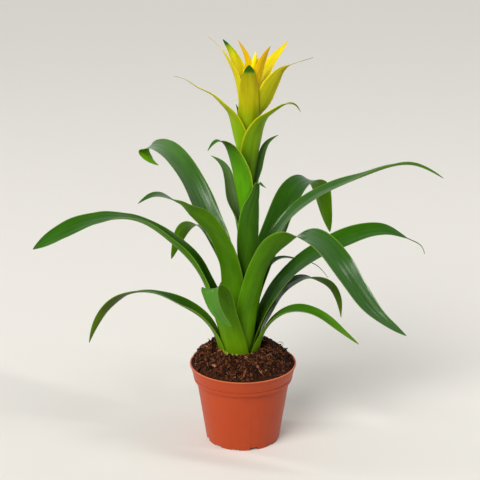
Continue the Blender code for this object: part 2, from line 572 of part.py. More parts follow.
def spindle(foot, tip, radius):
    """Vertices and faces of a bud: a rod from foot to tip that swells as BUD_SWELL says."""
    foot = np.array(foot, float)
    axis = np.array(tip, float) - foot
    across = np.cross(axis, (0.0, 1.0, 0.0))
    across /= np.linalg.norm(across)
    other = np.cross(axis / np.linalg.norm(axis), across)
    vertices = []
    for share, swell in BUD_SWELL:
        for i in range(BUD_SIDES):
            a = 2 * math.pi * i / BUD_SIDES
            spoke = radius * swell * (math.cos(a) * across + math.sin(a) * other)
            vertices.append(foot + share * axis + spoke)
    faces = []
    for ring in range(len(BUD_SWELL) - 1):
        for i in range(BUD_SIDES):
            j = (i + 1) % BUD_SIDES
            a = ring * BUD_SIDES
            faces.append((a + i, a + j, a + BUD_SIDES + j, a + BUD_SIDES + i))
    faces.append(tuple(range(BUD_SIDES - 1, -1, -1)))
    last = (len(BUD_SWELL) - 1) * BUD_SIDES
    faces.append(tuple(range(last, last + BUD_SIDES)))
    return vertices, faces


def make_flower_cluster():
    """Buds that stand in the cup of the head bracts, united with the core that carries them."""
    foot = STEM_TOP + TOUCH_GAP
    core_profile = [(foot + height, radius) for height, radius in CORE_PROFILE]
    vertices, faces = revolve(core_profile, CORE_SEGMENTS, lean)
    cluster = make_object("flower_cluster", vertices, faces, BRACT_YELLOW, BUD_ROUGHNESS)
    buds = bpy.data.collections.new("buds")
    bpy.context.scene.collection.children.link(buds)
    centre = lean(BUD_FOOT_HEIGHT)
    for number, (azimuth, reach, height, radius) in enumerate(BUDS):
        along = math.cos(math.radians(azimuth))
        aside = math.sin(math.radians(azimuth))
        place = (centre + BUD_FOOT_DISTANCE * along, BUD_FOOT_DISTANCE * aside,
                 BUD_FOOT_HEIGHT + BUD_FOOT_STAGGER * number)
        tip = (centre + reach * along, reach * aside, height)
        vertices, faces = spindle(place, tip, radius)
        bud = make_object(f"bud_{number + 1}", vertices, faces, BRACT_YELLOW, BUD_ROUGHNESS)
        bpy.context.scene.collection.objects.unlink(bud)
        buds.objects.link(bud)
    union = cluster.modifiers.new("buds", "BOOLEAN")
    union.operation = "UNION"
    union.operand_type = "COLLECTION"
    union.collection = buds
    union.solver = "EXACT"
    bpy.context.view_layer.objects.active = cluster
    cluster.select_set(True)
    bpy.ops.object.modifier_apply(modifier=union.name)
    for bud in list(buds.objects):
        bpy.data.objects.remove(bud, do_unlink=True)
    return cluster


clear_scene()
make_pot()
make_soil()
make_stem()
for number, blade in enumerate(LEAVES, 1):
    make_blade(f"leaf_{number:02d}", blade, blade.rows, blade.columns)
for number, blade in enumerate(SCAPE_BRACTS, 1):
    make_blade(f"scape_bract_{number:02d}", blade, BRACT_ROWS, SCAPE_BRACT_COLUMNS)
for number, blade in enumerate(HEAD_BRACTS, 1):
    make_blade(f"head_bract_{number:02d}", blade, BRACT_ROWS, HEAD_BRACT_COLUMNS)
make_flower_cluster()
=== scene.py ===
"""A potted guzmania, dressed: nursery pot, peat mix, leaf rosette and a yellow-green flower head.

The pieces come in the order in which the plant is put together: pot, mix, stem, leaves, bracts of
the flower stem, bracts and buds of the head. Lengths are in millimetres until a mesh is made, Z is
up, the pot stands on z = 0 and -Y is the front.
"""

import bmesh
import bpy
import numpy as np
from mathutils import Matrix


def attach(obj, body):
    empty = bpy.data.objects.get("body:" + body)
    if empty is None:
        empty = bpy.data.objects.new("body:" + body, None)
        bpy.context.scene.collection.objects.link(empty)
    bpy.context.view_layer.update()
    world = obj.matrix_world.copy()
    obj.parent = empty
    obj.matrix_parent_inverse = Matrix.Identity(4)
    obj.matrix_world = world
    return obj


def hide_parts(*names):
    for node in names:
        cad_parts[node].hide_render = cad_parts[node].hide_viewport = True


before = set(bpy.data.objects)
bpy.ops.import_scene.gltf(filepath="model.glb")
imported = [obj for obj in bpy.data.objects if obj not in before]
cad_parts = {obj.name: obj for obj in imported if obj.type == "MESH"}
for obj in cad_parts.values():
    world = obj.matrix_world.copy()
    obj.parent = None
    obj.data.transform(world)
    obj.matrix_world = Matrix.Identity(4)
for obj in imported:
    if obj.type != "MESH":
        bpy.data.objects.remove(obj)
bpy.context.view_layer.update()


# The pot is a 12 cm nursery pot, injection-moulded in one piece from terracotta polypropylene. A
# stepped collar with a lip stiffens its rim. A ring under the floor carries it, and slots in the
# ring let water out.
MM = 0.001
POT_HEIGHT = 90.9
RIM_RADIUS = 60.0
FOOT_RADIUS = 41.5
FOOT_RING_WIDTH = 3.0
WALL = 1.6
STEP_HEIGHT = 71.5
STEP_RADIUS = 52.4
COLLAR_RADIUS = 55.2
LIP_HEIGHT = 2.0
LIP_STEP = 1.0
BEAD_HEIGHT = 4.2
GROOVE_DEPTH = 0.7
FLOOR_HEIGHT = 3.4
SLOT_WIDTH = 9.2
SLOT_AZIMUTHS = -72.5 + 30.0 * np.arange(12)
SLOT_DEPTHS = np.array([3.0, 1.5, 1.5] * 4)


def linear(code):
    """Linear RGB of an sRGB hex colour: c / 12.92 near black, else ((c + 0.055) / 1.055) ** 2.4."""
    parts = np.array([int(code[k:k + 2], 16) / 255 for k in (1, 3, 5)])
    return np.where(parts <= 0.04045, parts / 12.92, ((parts + 0.055) / 1.055) ** 2.4)


def add_node(material, kind, settings=None, links=None):
    """Adds one shader node. settings gives its properties and its unlinked inputs, and links says
    which (node, output) feeds each linked input. A hex string is turned to a linear colour."""
    tree = material.node_tree
    made = tree.nodes.new("ShaderNode" + kind)
    for key, value in (settings or {}).items():
        if isinstance(key, str) and hasattr(made, key):
            setattr(made, key, value)
            continue
        if isinstance(value, str):
            value = (*linear(value), 1.0)
        made.inputs[key].default_value = value
    for key, (source, output) in (links or {}).items():
        tree.links.new(source.outputs[output], made.inputs[key])
    return made


def new_material(name):
    """A material with an empty node tree."""
    material = bpy.data.materials.new(name)
    material.use_nodes = True
    material.node_tree.nodes.clear()
    return material


def finish_material(material, settings, links):
    """Gives the material a Principled shader with these settings and links, and its output."""
    shader = add_node(material, "BsdfPrincipled", settings, links)
    add_node(material, "OutputMaterial", {}, {"Surface": (shader, "BSDF")})
    return material


def quads(rows, columns, wrap=False):
    """Faces between neighbours (i, j), (i, j+1), (i+1, j+1), (i+1, j) of a grid of vertices."""
    i = np.arange(rows - 1)[:, None] * columns
    j = np.arange(columns if wrap else columns - 1)[None]
    after = (j + 1) % columns
    return np.stack([i + j, i + after, i + columns + after, i + columns + j], -1).reshape(-1, 4)


def closed_quads(rows, columns, start=0):
    """Faces of a grid that wraps round an axis, with one flat face over each of its two ends."""
    last = start + (rows - 1) * columns
    ends = [list(range(start, start + columns)), list(range(last, last + columns))]
    return (quads(rows, columns, wrap=True) + start).tolist() + ends


def make_piece(name, points, faces, material, smooth=60):
    """A mesh object of these points in millimetres, its faces pointing out, riding on the root."""
    mesh = bpy.data.meshes.new(name)
    mesh.from_pydata(np.asarray(points, float).reshape(-1, 3) * MM, [], faces)
    work = bmesh.new()
    work.from_mesh(mesh)
    bmesh.ops.recalc_face_normals(work, faces=work.faces)
    work.to_mesh(mesh)
    work.free()
    mesh.shade_smooth()
    mesh.set_sharp_from_angle(angle=np.radians(smooth))
    mesh.materials.append(material)
    piece = bpy.data.objects.new(name, mesh)
    bpy.context.scene.collection.objects.link(piece)
    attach(piece, "root")
    return piece


def rounded(corners, bend, steps=6):
    """A profile whose corners are rounded: from A, bend before the corner C, to B, bend after it,
    it follows (1-s)^2 A + 2s(1-s) C + s^2 B."""
    corners = np.array(corners, float)
    back = corners[:-2] - corners[1:-1]
    ahead = corners[2:] - corners[1:-1]
    back_length = np.linalg.norm(back, axis=1)[:, None]
    ahead_length = np.linalg.norm(ahead, axis=1)[:, None]
    bend = np.broadcast_to(np.asarray(bend, float), len(back))[:, None]
    a = corners[1:-1] + back / back_length * np.minimum(bend, 0.48 * back_length)
    b = corners[1:-1] + ahead / ahead_length * np.minimum(bend, 0.48 * ahead_length)
    s = np.linspace(0, 1, steps)[None, :, None]
    curve = (1 - s) ** 2 * a[:, None] + 2 * s * (1 - s) * corners[1:-1, None] + s ** 2 * b[:, None]
    return np.vstack([corners[:1], curve.reshape(-1, 2), corners[-1:]])


def turned(profile, angles, centre_x=0.0):
    """Grid of points: (radius, height) of the profile carried round an upright axis."""
    radius, height = profile[:, :1], profile[:, 1:]
    across = radius * np.cos(angles) + np.reshape(centre_x, (-1, 1))
    return np.stack([across, radius * np.sin(angles), height + 0 * angles], -1)


inner_collar_foot = COLLAR_RADIUS - WALL + 0.4
bead_radius = COLLAR_RADIUS + 1.1
pot_profile = rounded([
    (0.6, FLOOR_HEIGHT + 0.9), (9, FLOOR_HEIGHT + 0.9), (10, FLOOR_HEIGHT),
    (FOOT_RADIUS - FOOT_RING_WIDTH, FLOOR_HEIGHT), (FOOT_RADIUS - FOOT_RING_WIDTH, 0),
    (FOOT_RADIUS, 0), (STEP_RADIUS - 0.1, STEP_HEIGHT - 1.2),
    (STEP_RADIUS - 1.1, STEP_HEIGHT), (COLLAR_RADIUS, STEP_HEIGHT),
    (bead_radius, STEP_HEIGHT + BEAD_HEIGHT),
    (bead_radius - GROOVE_DEPTH, STEP_HEIGHT + BEAD_HEIGHT + 0.3),
    (bead_radius - GROOVE_DEPTH, STEP_HEIGHT + BEAD_HEIGHT + 0.9),
    (bead_radius + 0.1, STEP_HEIGHT + BEAD_HEIGHT + 1.4),
    (RIM_RADIUS - LIP_STEP, POT_HEIGHT - LIP_HEIGHT - 0.3), (RIM_RADIUS, POT_HEIGHT - LIP_HEIGHT),
    (RIM_RADIUS, POT_HEIGHT), (RIM_RADIUS - WALL, POT_HEIGHT),
    (inner_collar_foot, STEP_HEIGHT + WALL), (STEP_RADIUS - WALL, STEP_HEIGHT - WALL),
    (FOOT_RADIUS - WALL + 0.4, FLOOR_HEIGHT + WALL), (0.6, FLOOR_HEIGHT + WALL)],
    [0.5, 0.5, 0.5, 0.3, 0.5, 0.3, 0.3, 0.4, 0.3, 0.3, 0.3, 0.3, 0.3, 0.3, 0.5, 0.5, 1.0, 1.0, 1.0])
slot_half_angle = np.degrees(np.arcsin(SLOT_WIDTH / 2 / FOOT_RADIUS))
slot_edges = SLOT_AZIMUTHS[:, None] + slot_half_angle * np.array([-1.01, -0.99, 0.99, 1.01])
pot_angles = np.unique(np.concatenate([np.arange(0, 360, 1.5), slot_edges.ravel() % 360]))
pot_grid = turned(pot_profile, np.radians(pot_angles))
slot_distance = np.abs((pot_angles[:, None] - SLOT_AZIMUTHS + 180) % 360 - 180)
slot_lift = ((slot_distance < slot_half_angle) * SLOT_DEPTHS).max(1)
pot_grid[..., 2] = np.maximum(pot_grid[..., 2], slot_lift)

# Polypropylene straight from a spark-eroded mould: dull, with a fine orange-peel texture. The
# pigment is even, and the top of the rim is painted lighter, a painted highlight along the lip.
terracotta = new_material("moulded_polypropylene_terracotta")
place = add_node(terracotta, "TexCoord")
cloud = add_node(terracotta, "TexNoise", {"Scale": 60.0, "Detail": 3.0, "Roughness": 0.6},
                 {"Vector": (place, "Object")})
peel = add_node(terracotta, "TexNoise", {"Scale": 1400.0, "Detail": 2.0},
                {"Vector": (place, "Object")})
height = add_node(terracotta, "SeparateXYZ", {}, {"Vector": (place, "Object")})
# painted highlight: the top 1.1 mm of the rim blends to a light peach
painted_rim_highlight = add_node(terracotta, "MapRange", {"From Min": 0.0898, "From Max": 0.0909, "To Max": 0.7},
                  {"Value": (height, "Z")})
pigment = add_node(terracotta, "Mix", {"data_type": "RGBA", 6: "#A63A12", 7: "#B04218"},
                   {0: (cloud, "Fac")})
shell = add_node(terracotta, "Mix", {"data_type": "RGBA", 7: "#DC8058"},
                 {0: (painted_rim_highlight, "Result"), 6: (pigment, 2)})
dull = add_node(terracotta, "MapRange", {"To Min": 0.36, "To Max": 0.48}, {"Value": (cloud, "Fac")})
texture = add_node(terracotta, "Bump", {"Strength": 0.25, "Distance": 0.0001},
                   {"Height": (peel, "Fac")})
finish_material(terracotta, {"IOR": 1.49, "Specular IOR Level": 0.3},
                {"Base Color": (shell, 2), "Roughness": (dull, "Result"),
                 "Normal": (texture, "Normal")})

pot_faces = closed_quads(*pot_grid.shape[:2])
pot = make_piece("nursery_pot", pot_grid, pot_faces, terracotta, smooth=35)
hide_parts("pot")


# The potting mix is peat and coir, mounded and pressed round the plant by hand. Its surface is
# loose: crumbs, chips of coir pith and bark, and short fibres that stick out of it.
MIX_EDGE_HEIGHT = 88.4
MOUND_HEIGHT = 21.5
MOUND_RADIUS = 27.0
MIX_INNER_RADIUS = 25.2
MIX_OUTER_RADIUS = RIM_RADIUS - WALL - 0.3
PLANT_X = -4.0
MIX_COLUMNS = 360
MIX_ROWS = 84
SHARE_UNDER_PLANT = -0.16
LUMPS = ((1.3, 9.0), (1.2, 4.2), (0.6, 1.9))
LATTICE = 64


def bumpy(x, y, spacing, seed):
    """Smooth random height, -1 to 1: random values on a square lattice of this spacing, blended
    across each square by 3s^2 - 2s^3."""
    lattice = np.random.default_rng(seed).uniform(-1, 1, (LATTICE, LATTICE))
    i, j = np.floor(x / spacing).astype(int), np.floor(y / spacing).astype(int)
    s, t = x / spacing - i, y / spacing - j
    s, t = s * s * (3 - 2 * s), t * t * (3 - 2 * t)
    i, j, right, up = i % LATTICE, j % LATTICE, (i + 1) % LATTICE, (j + 1) % LATTICE
    near = lattice[i, j] * (1 - s) + lattice[right, j] * s
    far = lattice[i, up] * (1 - s) + lattice[right, up] * s
    return near * (1 - t) + far * t


def mix_point(share, angle):
    """Point on the mix: share runs from the plant to the wall. The mound falls as
    1 - (distance beyond its flat top) ** 2.2, and lumps of three (height, spacing) roughen it."""
    radius = MIX_INNER_RADIUS + (MIX_OUTER_RADIUS - MIX_INNER_RADIUS) * share
    x = PLANT_X * (1 - share) + radius * np.cos(angle)
    y = radius * np.sin(angle)
    fall = np.clip((radius - MOUND_RADIUS) / (RIM_RADIUS - WALL - MOUND_RADIUS), 0, 1)
    z = MIX_EDGE_HEIGHT + MOUND_HEIGHT * (1 - fall ** 2.2) * (1 + 0.04 * np.sin(angle))
    for seed, (lump_height, spacing) in enumerate(LUMPS, 1):
        z = z + lump_height * bumpy(x, y, spacing, seed)
    return np.stack([x, y, z], -1)


def mix_height(x, y):
    """Height of the mix at x, y: mix_point at the share that the distance from the plant gives."""
    beyond = np.hypot(x - PLANT_X / 2, y) - MIX_INNER_RADIUS
    share = beyond / (MIX_OUTER_RADIUS - MIX_INNER_RADIUS)
    return mix_point(np.clip(share, -0.1, 0.99), np.arctan2(y, x))[..., 2]


# Peat, milled and damp: near black in its pores, brown on its crumbs, with no gloss at all.
peat = new_material("milled_peat")
place = add_node(peat, "TexCoord")
grain = add_node(peat, "TexNoise", {"Scale": 650.0, "Detail": 4.0, "Roughness": 0.7},
                 {"Vector": (place, "Object")})
crumb = add_node(peat, "TexVoronoi", {"Scale": 420.0, "Randomness": 1.0},
                 {"Vector": (place, "Object")})
spread = add_node(peat, "MapRange", {"From Min": 0.3, "From Max": 0.72}, {"Value": (grain, "Fac")})
ground = add_node(peat, "Mix", {"data_type": "RGBA", 6: "#1C0E09", 7: "#57301E"},
                  {0: (spread, "Result")})
pores = add_node(peat, "Mix", {"data_type": "RGBA", "blend_type": "MULTIPLY", 0: 0.6},
                 {6: (ground, 2), 7: (crumb, "Color")})
rough = add_node(peat, "Bump", {"Strength": 0.9, "Distance": 0.0008}, {"Height": (grain, "Fac")})
finish_material(peat, {"Roughness": 0.95, "Specular IOR Level": 0.2},
                {"Base Color": (pores, 2), "Normal": (rough, "Normal")})

mix_angles = np.linspace(0, 2 * np.pi, MIX_COLUMNS, endpoint=False)
mix_shares = np.linspace(SHARE_UNDER_PLANT, 1.0, MIX_ROWS)
mix_top = mix_point(mix_shares[:, None], mix_angles[None])
mix_side = turned(np.array([(inner_collar_foot - 0.4, STEP_HEIGHT + WALL),
                            (STEP_RADIUS - WALL - 0.4, STEP_HEIGHT - WALL),
                            (FOOT_RADIUS - WALL + 0.1, FLOOR_HEIGHT + WALL + 0.3)]), mix_angles)
mix_grid = np.concatenate([mix_top, mix_side])
mix_faces = closed_quads(*mix_grid.shape[:2])
mix = make_piece("potting_mix_bed", mix_grid, mix_faces, peat, smooth=180)
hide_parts("potting_mix")


def turns(count, rng):
    """Random rotation matrices: unit quaternions (w, x, y, z) written out as matrices."""
    turn = rng.normal(size=(4, count))
    w, x, y, z = turn / np.linalg.norm(turn, axis=0)
    rows = [1 - 2 * (y * y + z * z), 2 * (x * y - z * w), 2 * (x * z + y * w),
            2 * (x * y + z * w), 1 - 2 * (x * x + z * z), 2 * (y * z - x * w),
            2 * (x * z - y * w), 2 * (y * z + x * w), 1 - 2 * (x * x + y * y)]
    return np.stack(rows, -1).reshape(-1, 3, 3)


# Loose crumbs and chips, one piece: each is a squashed, jittered icosahedron of 20 faces.
CRUMB_COUNT = 3800
golden = (1 + 5 ** 0.5) / 2
ico = np.array([(-1, golden, 0), (1, golden, 0), (-1, -golden, 0), (1, -golden, 0),
                (0, -1, golden), (0, 1, golden), (0, -1, -golden), (0, 1, -golden),
                (golden, 0, -1), (golden, 0, 1), (-golden, 0, -1), (-golden, 0, 1)])
ico /= np.linalg.norm(ico[0])
ico_faces = np.array([(0, 11, 5), (0, 5, 1), (0, 1, 7), (0, 7, 10), (0, 10, 11), (1, 5, 9),
                      (5, 11, 4), (11, 10, 2), (10, 7, 6), (7, 1, 8), (3, 9, 4), (3, 4, 2),
                      (3, 2, 6), (3, 6, 8), (3, 8, 9), (4, 9, 5), (2, 4, 11), (6, 2, 10),
                      (8, 6, 7), (9, 8, 1)])
rng = np.random.default_rng(11)
crumb_share = 0.98 * rng.uniform(0, 1, CRUMB_COUNT) ** 0.72 - rng.uniform(0, 0.06, CRUMB_COUNT)
crumb_angle = rng.uniform(0, 2 * np.pi, CRUMB_COUNT)
crumb_size = 0.55 + 2.3 * rng.uniform(0, 1, CRUMB_COUNT) ** 4
crumb_stretch = rng.uniform((0.8, 0.45, 0.3), (1.9, 0.9, 0.7), (CRUMB_COUNT, 3))
crumb_shape = ico * rng.uniform(0.72, 1.2, (CRUMB_COUNT, 12, 1))
crumb_shape = crumb_shape * (crumb_size[:, None] * crumb_stretch)[:, None]
crumb_shape = np.einsum("nij,nkj->nki", turns(CRUMB_COUNT, rng), crumb_shape)
crumb_centre = mix_point(crumb_share, crumb_angle) + np.array([0, 0, 0.15])
crumb_points = crumb_centre[:, None] + crumb_shape
crumb_faces = (ico_faces + 12 * np.arange(CRUMB_COUNT)[:, None, None]).reshape(-1, 3)
crumb_tone = np.repeat(rng.uniform(0, 1, CRUMB_COUNT), 12)

# Coir pith and bark in crumbs: each crumb has its own brown, from black-brown to red chips and a
# few straw-coloured splinters.
pith = new_material("coir_pith_and_bark")
tone = add_node(pith, "Attribute", {"attribute_name": "tone"})
place = add_node(pith, "TexCoord")
grain = add_node(pith, "TexNoise", {"Scale": 900.0, "Detail": 3.0}, {"Vector": (place, "Object")})
red = add_node(pith, "MapRange", {"From Min": 0.5, "From Max": 0.97}, {"Value": (tone, "Fac")})
straw = add_node(pith, "MapRange", {"From Min": 0.965, "From Max": 0.99}, {"Value": (tone, "Fac")})
brown = add_node(pith, "Mix", {"data_type": "RGBA", 6: "#20110B", 7: "#7A4329"},
                 {0: (red, "Result")})
chip = add_node(pith, "Mix", {"data_type": "RGBA", 7: "#B9805A"},
                {0: (straw, "Result"), 6: (brown, 2)})
damp = add_node(pith, "MapRange", {"From Min": 0.35, "From Max": 0.6, "To Min": 0.55,
                                   "To Max": 1.05}, {"Value": (grain, "Fac")})
stained = add_node(pith, "VectorMath", {"operation": "SCALE"},
                   {"Vector": (chip, 2), "Scale": (damp, "Result")})
finish_material(pith, {"Roughness": 0.9, "Specular IOR Level": 0.25},
                {"Base Color": (stained, "Vector")})
crumbs = make_piece("potting_mix_crumbs", crumb_points, crumb_faces, pith, smooth=30)
crumbs.data.attributes.new("tone", "FLOAT", "POINT").data.foreach_set("value", crumb_tone)
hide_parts("potting_mix")


def tube(paths, radius, sides):
    """Thin tubes along many paths of the same number of points: a ring of spokes
    r (cos a N + sin a B), square to the path's direction, at each point."""
    along = np.gradient(paths, axis=1)
    along /= np.linalg.norm(along, axis=2)[..., None]
    side = np.cross(along, np.array([0.31, 0.2, 0.93]))
    side /= np.linalg.norm(side, axis=2)[..., None]
    up = np.cross(along, side)
    a = np.arange(sides) * 2 * np.pi / sides
    spokes = np.cos(a)[:, None] * side[:, :, None] + np.sin(a)[:, None] * up[:, :, None]
    points = paths[:, :, None] + np.asarray(radius)[..., None, None] * spokes
    count, length = paths.shape[:2]
    ring = quads(length, sides, wrap=True)
    faces = (ring + np.arange(count)[:, None, None] * length * sides).reshape(-1, 4).tolist()
    ends = np.arange(count)[:, None] * length * sides + np.arange(sides)
    faces += ends.tolist() + (ends + (length - 1) * sides).tolist()
    return points, faces


# Coir fibres: stiff brown hairs, 0.2 mm to 0.5 mm thick, that curl out of the mix and back.
FIBRE_COUNT = 460
FIBRE_POINTS = 9
FIBRE_SIDES = 4
FIBRE_REACH = 56.5
LOOP_X = 42.5
LOOP_Y = 21.0
rng = np.random.default_rng(23)
fibre_share = rng.uniform(0.0, 0.96, FIBRE_COUNT)
fibre_foot = mix_point(fibre_share, rng.uniform(0, 2 * np.pi, FIBRE_COUNT))
heading = rng.uniform(0, 2 * np.pi, FIBRE_COUNT)
length = 3.0 + 11.0 * rng.uniform(0, 1, FIBRE_COUNT) ** 1.6
curl = rng.uniform(-2.2, 2.2, FIBRE_COUNT)
s = np.linspace(0, 1, FIBRE_POINTS)
turn = heading[:, None] + curl[:, None] * s
step = length[:, None] / (FIBRE_POINTS - 1)
fibre_x = fibre_foot[:, :1] + np.cumsum(np.cos(turn), 1) * step
fibre_y = fibre_foot[:, 1:2] + np.cumsum(np.sin(turn), 1) * step
pull_in = np.minimum(1.0, FIBRE_REACH / np.hypot(fibre_x, fibre_y))
fibre_x, fibre_y = fibre_x * pull_in, fibre_y * pull_in
arch = rng.uniform(0.3, 2.0, FIBRE_COUNT)[:, None] * np.sin(np.pi * s) + 0.25
fibre_paths = np.stack([fibre_x, fibre_y, mix_height(fibre_x, fibre_y) + arch], -1)
thickness = rng.uniform(0.12, 0.27, FIBRE_COUNT)[:, None] * (1 - 0.5 * s)
fibre_tone = rng.uniform(0, 1, FIBRE_COUNT)

# Husk ends stand up behind the plant, one of them curled to a loop, and pale splints lie in front.
husk_start = np.array([(-36, 21), (-33, 24), (17, -44), (15, -26), (20, -43)])[:, :, None]
husk_end = np.array([(-40, 22), (-32, 25), (23, -48), (19, -27), (22, -48)])[:, :, None]
husk_x, husk_y = np.moveaxis(husk_start * (1 - s) + husk_end * s, 1, 0)
husk_lift = np.array([4.5, 5.0, 0.5, 0.6, 0.9])[:, None] * s + 0.4
husk_paths = np.stack([husk_x, husk_y, mix_height(husk_x, husk_y) + husk_lift], -1)
loop_turn = np.radians(-150 + 350 * s)
loop_x, loop_y = LOOP_X + 3.4 * np.cos(loop_turn), LOOP_Y + 1.5 * s
loop_z = mix_height(LOOP_X, LOOP_Y) + 2.6 + 2.9 * np.sin(loop_turn)
loop_path = np.stack([loop_x, loop_y, loop_z], -1)[None]
fibre_paths = np.vstack([fibre_paths, husk_paths, loop_path])
husk_thickness = np.array([0.4, 0.4, 0.7, 0.7, 0.5, 0.35])[:, None] * (1 - 0.4 * s)
thickness = np.vstack([thickness, husk_thickness])
fibre_tone = np.concatenate([fibre_tone, [0, 0, 1, 1, 0.9, 0]])
fibre_points, fibre_faces = tube(fibre_paths, thickness, FIBRE_SIDES)
fibre_tone = np.repeat(fibre_tone, FIBRE_POINTS * FIBRE_SIDES)

coir = new_material("coir_fibre")
tone = add_node(coir, "Attribute", {"attribute_name": "tone"})
husk = add_node(coir, "Mix", {"data_type": "RGBA", 6: "#34190E", 7: "#B06C3E"}, {0: (tone, "Fac")})
finish_material(coir, {"Roughness": 0.7}, {"Base Color": (husk, 2)})
fibres = make_piece("coir_fibres", fibre_points, fibre_faces, coir)
fibres.data.attributes.new("tone", "FLOAT", "POINT").data.foreach_set("value", fibre_tone)
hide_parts("potting_mix")


# The stem is a squat cone of old leaf scars in the mix, then the slender flower stem. It grows with
# a slight lean to the right, and the leaf and bract sheaths hide nearly all of it.
STEM_STATIONS = np.array([
    (22.0, 88.3), (22.0, 94.2), (13.3, 101), (11.0, 130), (6.0, 175), (5.5, 205), (5.0, 240),
    (4.7, 270), (4.5, 300), (4.35, 330), (4.0, 350), (3.6, 366), (3.1, 374), (2.6, 384)])
SCAR_SPACING = 3.2
SCAR_TOP = 170


def ease(x):
    """Smooth step 3x^2 - 2x^3 from 0 at x = 0 to 1 at x = 1."""
    x = np.clip(x, 0.0, 1.0)
    return x * x * (3 - 2 * x)


def lean(z):
    """Sideways shift of the whole plant at height z: from 4 mm left at 110 mm to 5 mm right at
    240 mm."""
    return PLANT_X + 9.0 * ease((z - 110.0) / 130.0)


# Living stem tissue: pale green and faintly ribbed along its length, with a soft sheen.
stem_tissue = new_material("living_flower_stem")
place = add_node(stem_tissue, "TexCoord")
rib_place = add_node(stem_tissue, "Mapping", {"Scale": (900.0, 900.0, 25.0)},
                     {"Vector": (place, "Object")})
ribs = add_node(stem_tissue, "TexNoise", {"Scale": 1.0, "Detail": 2.0},
                {"Vector": (rib_place, "Vector")})
stem_color = add_node(stem_tissue, "Mix", {"data_type": "RGBA", 6: "#5F8A22", 7: "#8CB03C"},
                      {0: (ribs, "Fac")})
ribbing = add_node(stem_tissue, "Bump", {"Strength": 0.3, "Distance": 0.0002},
                   {"Height": (ribs, "Fac")})
finish_material(stem_tissue, {"Roughness": 0.45},
                {"Base Color": (stem_color, 2), "Normal": (ribbing, "Normal")})
station_radius, station_z = STEM_STATIONS.T
stem_z = np.linspace(station_z[0], station_z[-1], 150)
scars = 0.25 * np.cos(stem_z * 2 * np.pi / SCAR_SPACING) * (stem_z < SCAR_TOP)
stem_radius = np.interp(stem_z, station_z, station_radius) - 0.3 + scars
stem_angles = np.linspace(0, 2 * np.pi, 48, endpoint=False)
stem_grid = turned(np.stack([stem_radius, stem_z], -1), stem_angles, lean(stem_z))
stem = make_piece("flower_stem", stem_grid, closed_quads(*stem_grid.shape[:2]), stem_tissue)
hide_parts("stem")


# The rosette: strap leaves, each a thin blade on a sheath that wraps the stem and clasps the
# sheath inside it. They grow in a spiral, so the lowest leaf is the outermost.
HALF_THICKNESS = 0.40
TIP_HALF_WIDTH = 0.35
FOOT_BLEND_HEIGHT = 108
FOOT_BLEND_LENGTH = 62


def eased(stops, t):
    """Value at t of (t, value) stops, with a smooth step between neighbours. The value holds
    before the first stop and after the last, and a single number holds all along."""
    if np.isscalar(stops):
        return np.full(len(t), float(stops))
    stops = np.array(stops, float)
    k = np.clip(np.searchsorted(stops[:, 0], t, side="right") - 1, 0, len(stops) - 2)
    share = ease((t - stops[k, 0]) / (stops[k + 1, 0] - stops[k, 0]))
    return stops[k, 1] * (1 - share) + stops[k + 1, 1] * share


def natural_spline(points, t):
    """Points and unit tangents at t on the natural cubic spline through the points: its second
    derivative is linear between the knots and nil at both ends."""
    chords = np.linalg.norm(np.diff(points, axis=0), axis=1)
    knots = np.concatenate([[0.0], np.cumsum(chords)]) / chords.sum()
    steps = np.diff(knots)
    count = len(points)
    slopes = np.diff(points, axis=0) / steps[:, None]
    inner = np.arange(1, count - 1)
    system = np.eye(count)
    system[inner, inner - 1] = steps[:-1]
    system[inner, inner] = 2 * (steps[:-1] + steps[1:])
    system[inner, inner + 1] = steps[1:]
    right = np.zeros_like(points)
    right[1:-1] = 6 * np.diff(slopes, axis=0)
    bend = np.linalg.solve(system, right)
    k = np.clip(np.searchsorted(knots, t, side="right") - 1, 0, count - 2)
    step = steps[k][:, None]
    a = (knots[k + 1] - t)[:, None] / step
    b = 1 - a
    place = a * points[k] + b * points[k + 1]
    place += ((a ** 3 - a) * bend[k] + (b ** 3 - b) * bend[k + 1]) * step ** 2 / 6
    tangent = slopes[k] + ((3 * b ** 2 - 1) * bend[k + 1] - (3 * a ** 2 - 1) * bend[k]) * step / 6
    return place, tangent / np.linalg.norm(tangent, axis=1)[:, None]


def stops_color(stops, t):
    """Linear colour at t on (t, sRGB hex) stops, blended straight from one to the next."""
    places = [place for place, code in stops]
    colors = np.array([linear(code) for place, code in stops])
    return np.stack([np.interp(t, places, colors[:, k]) for k in range(3)], -1)


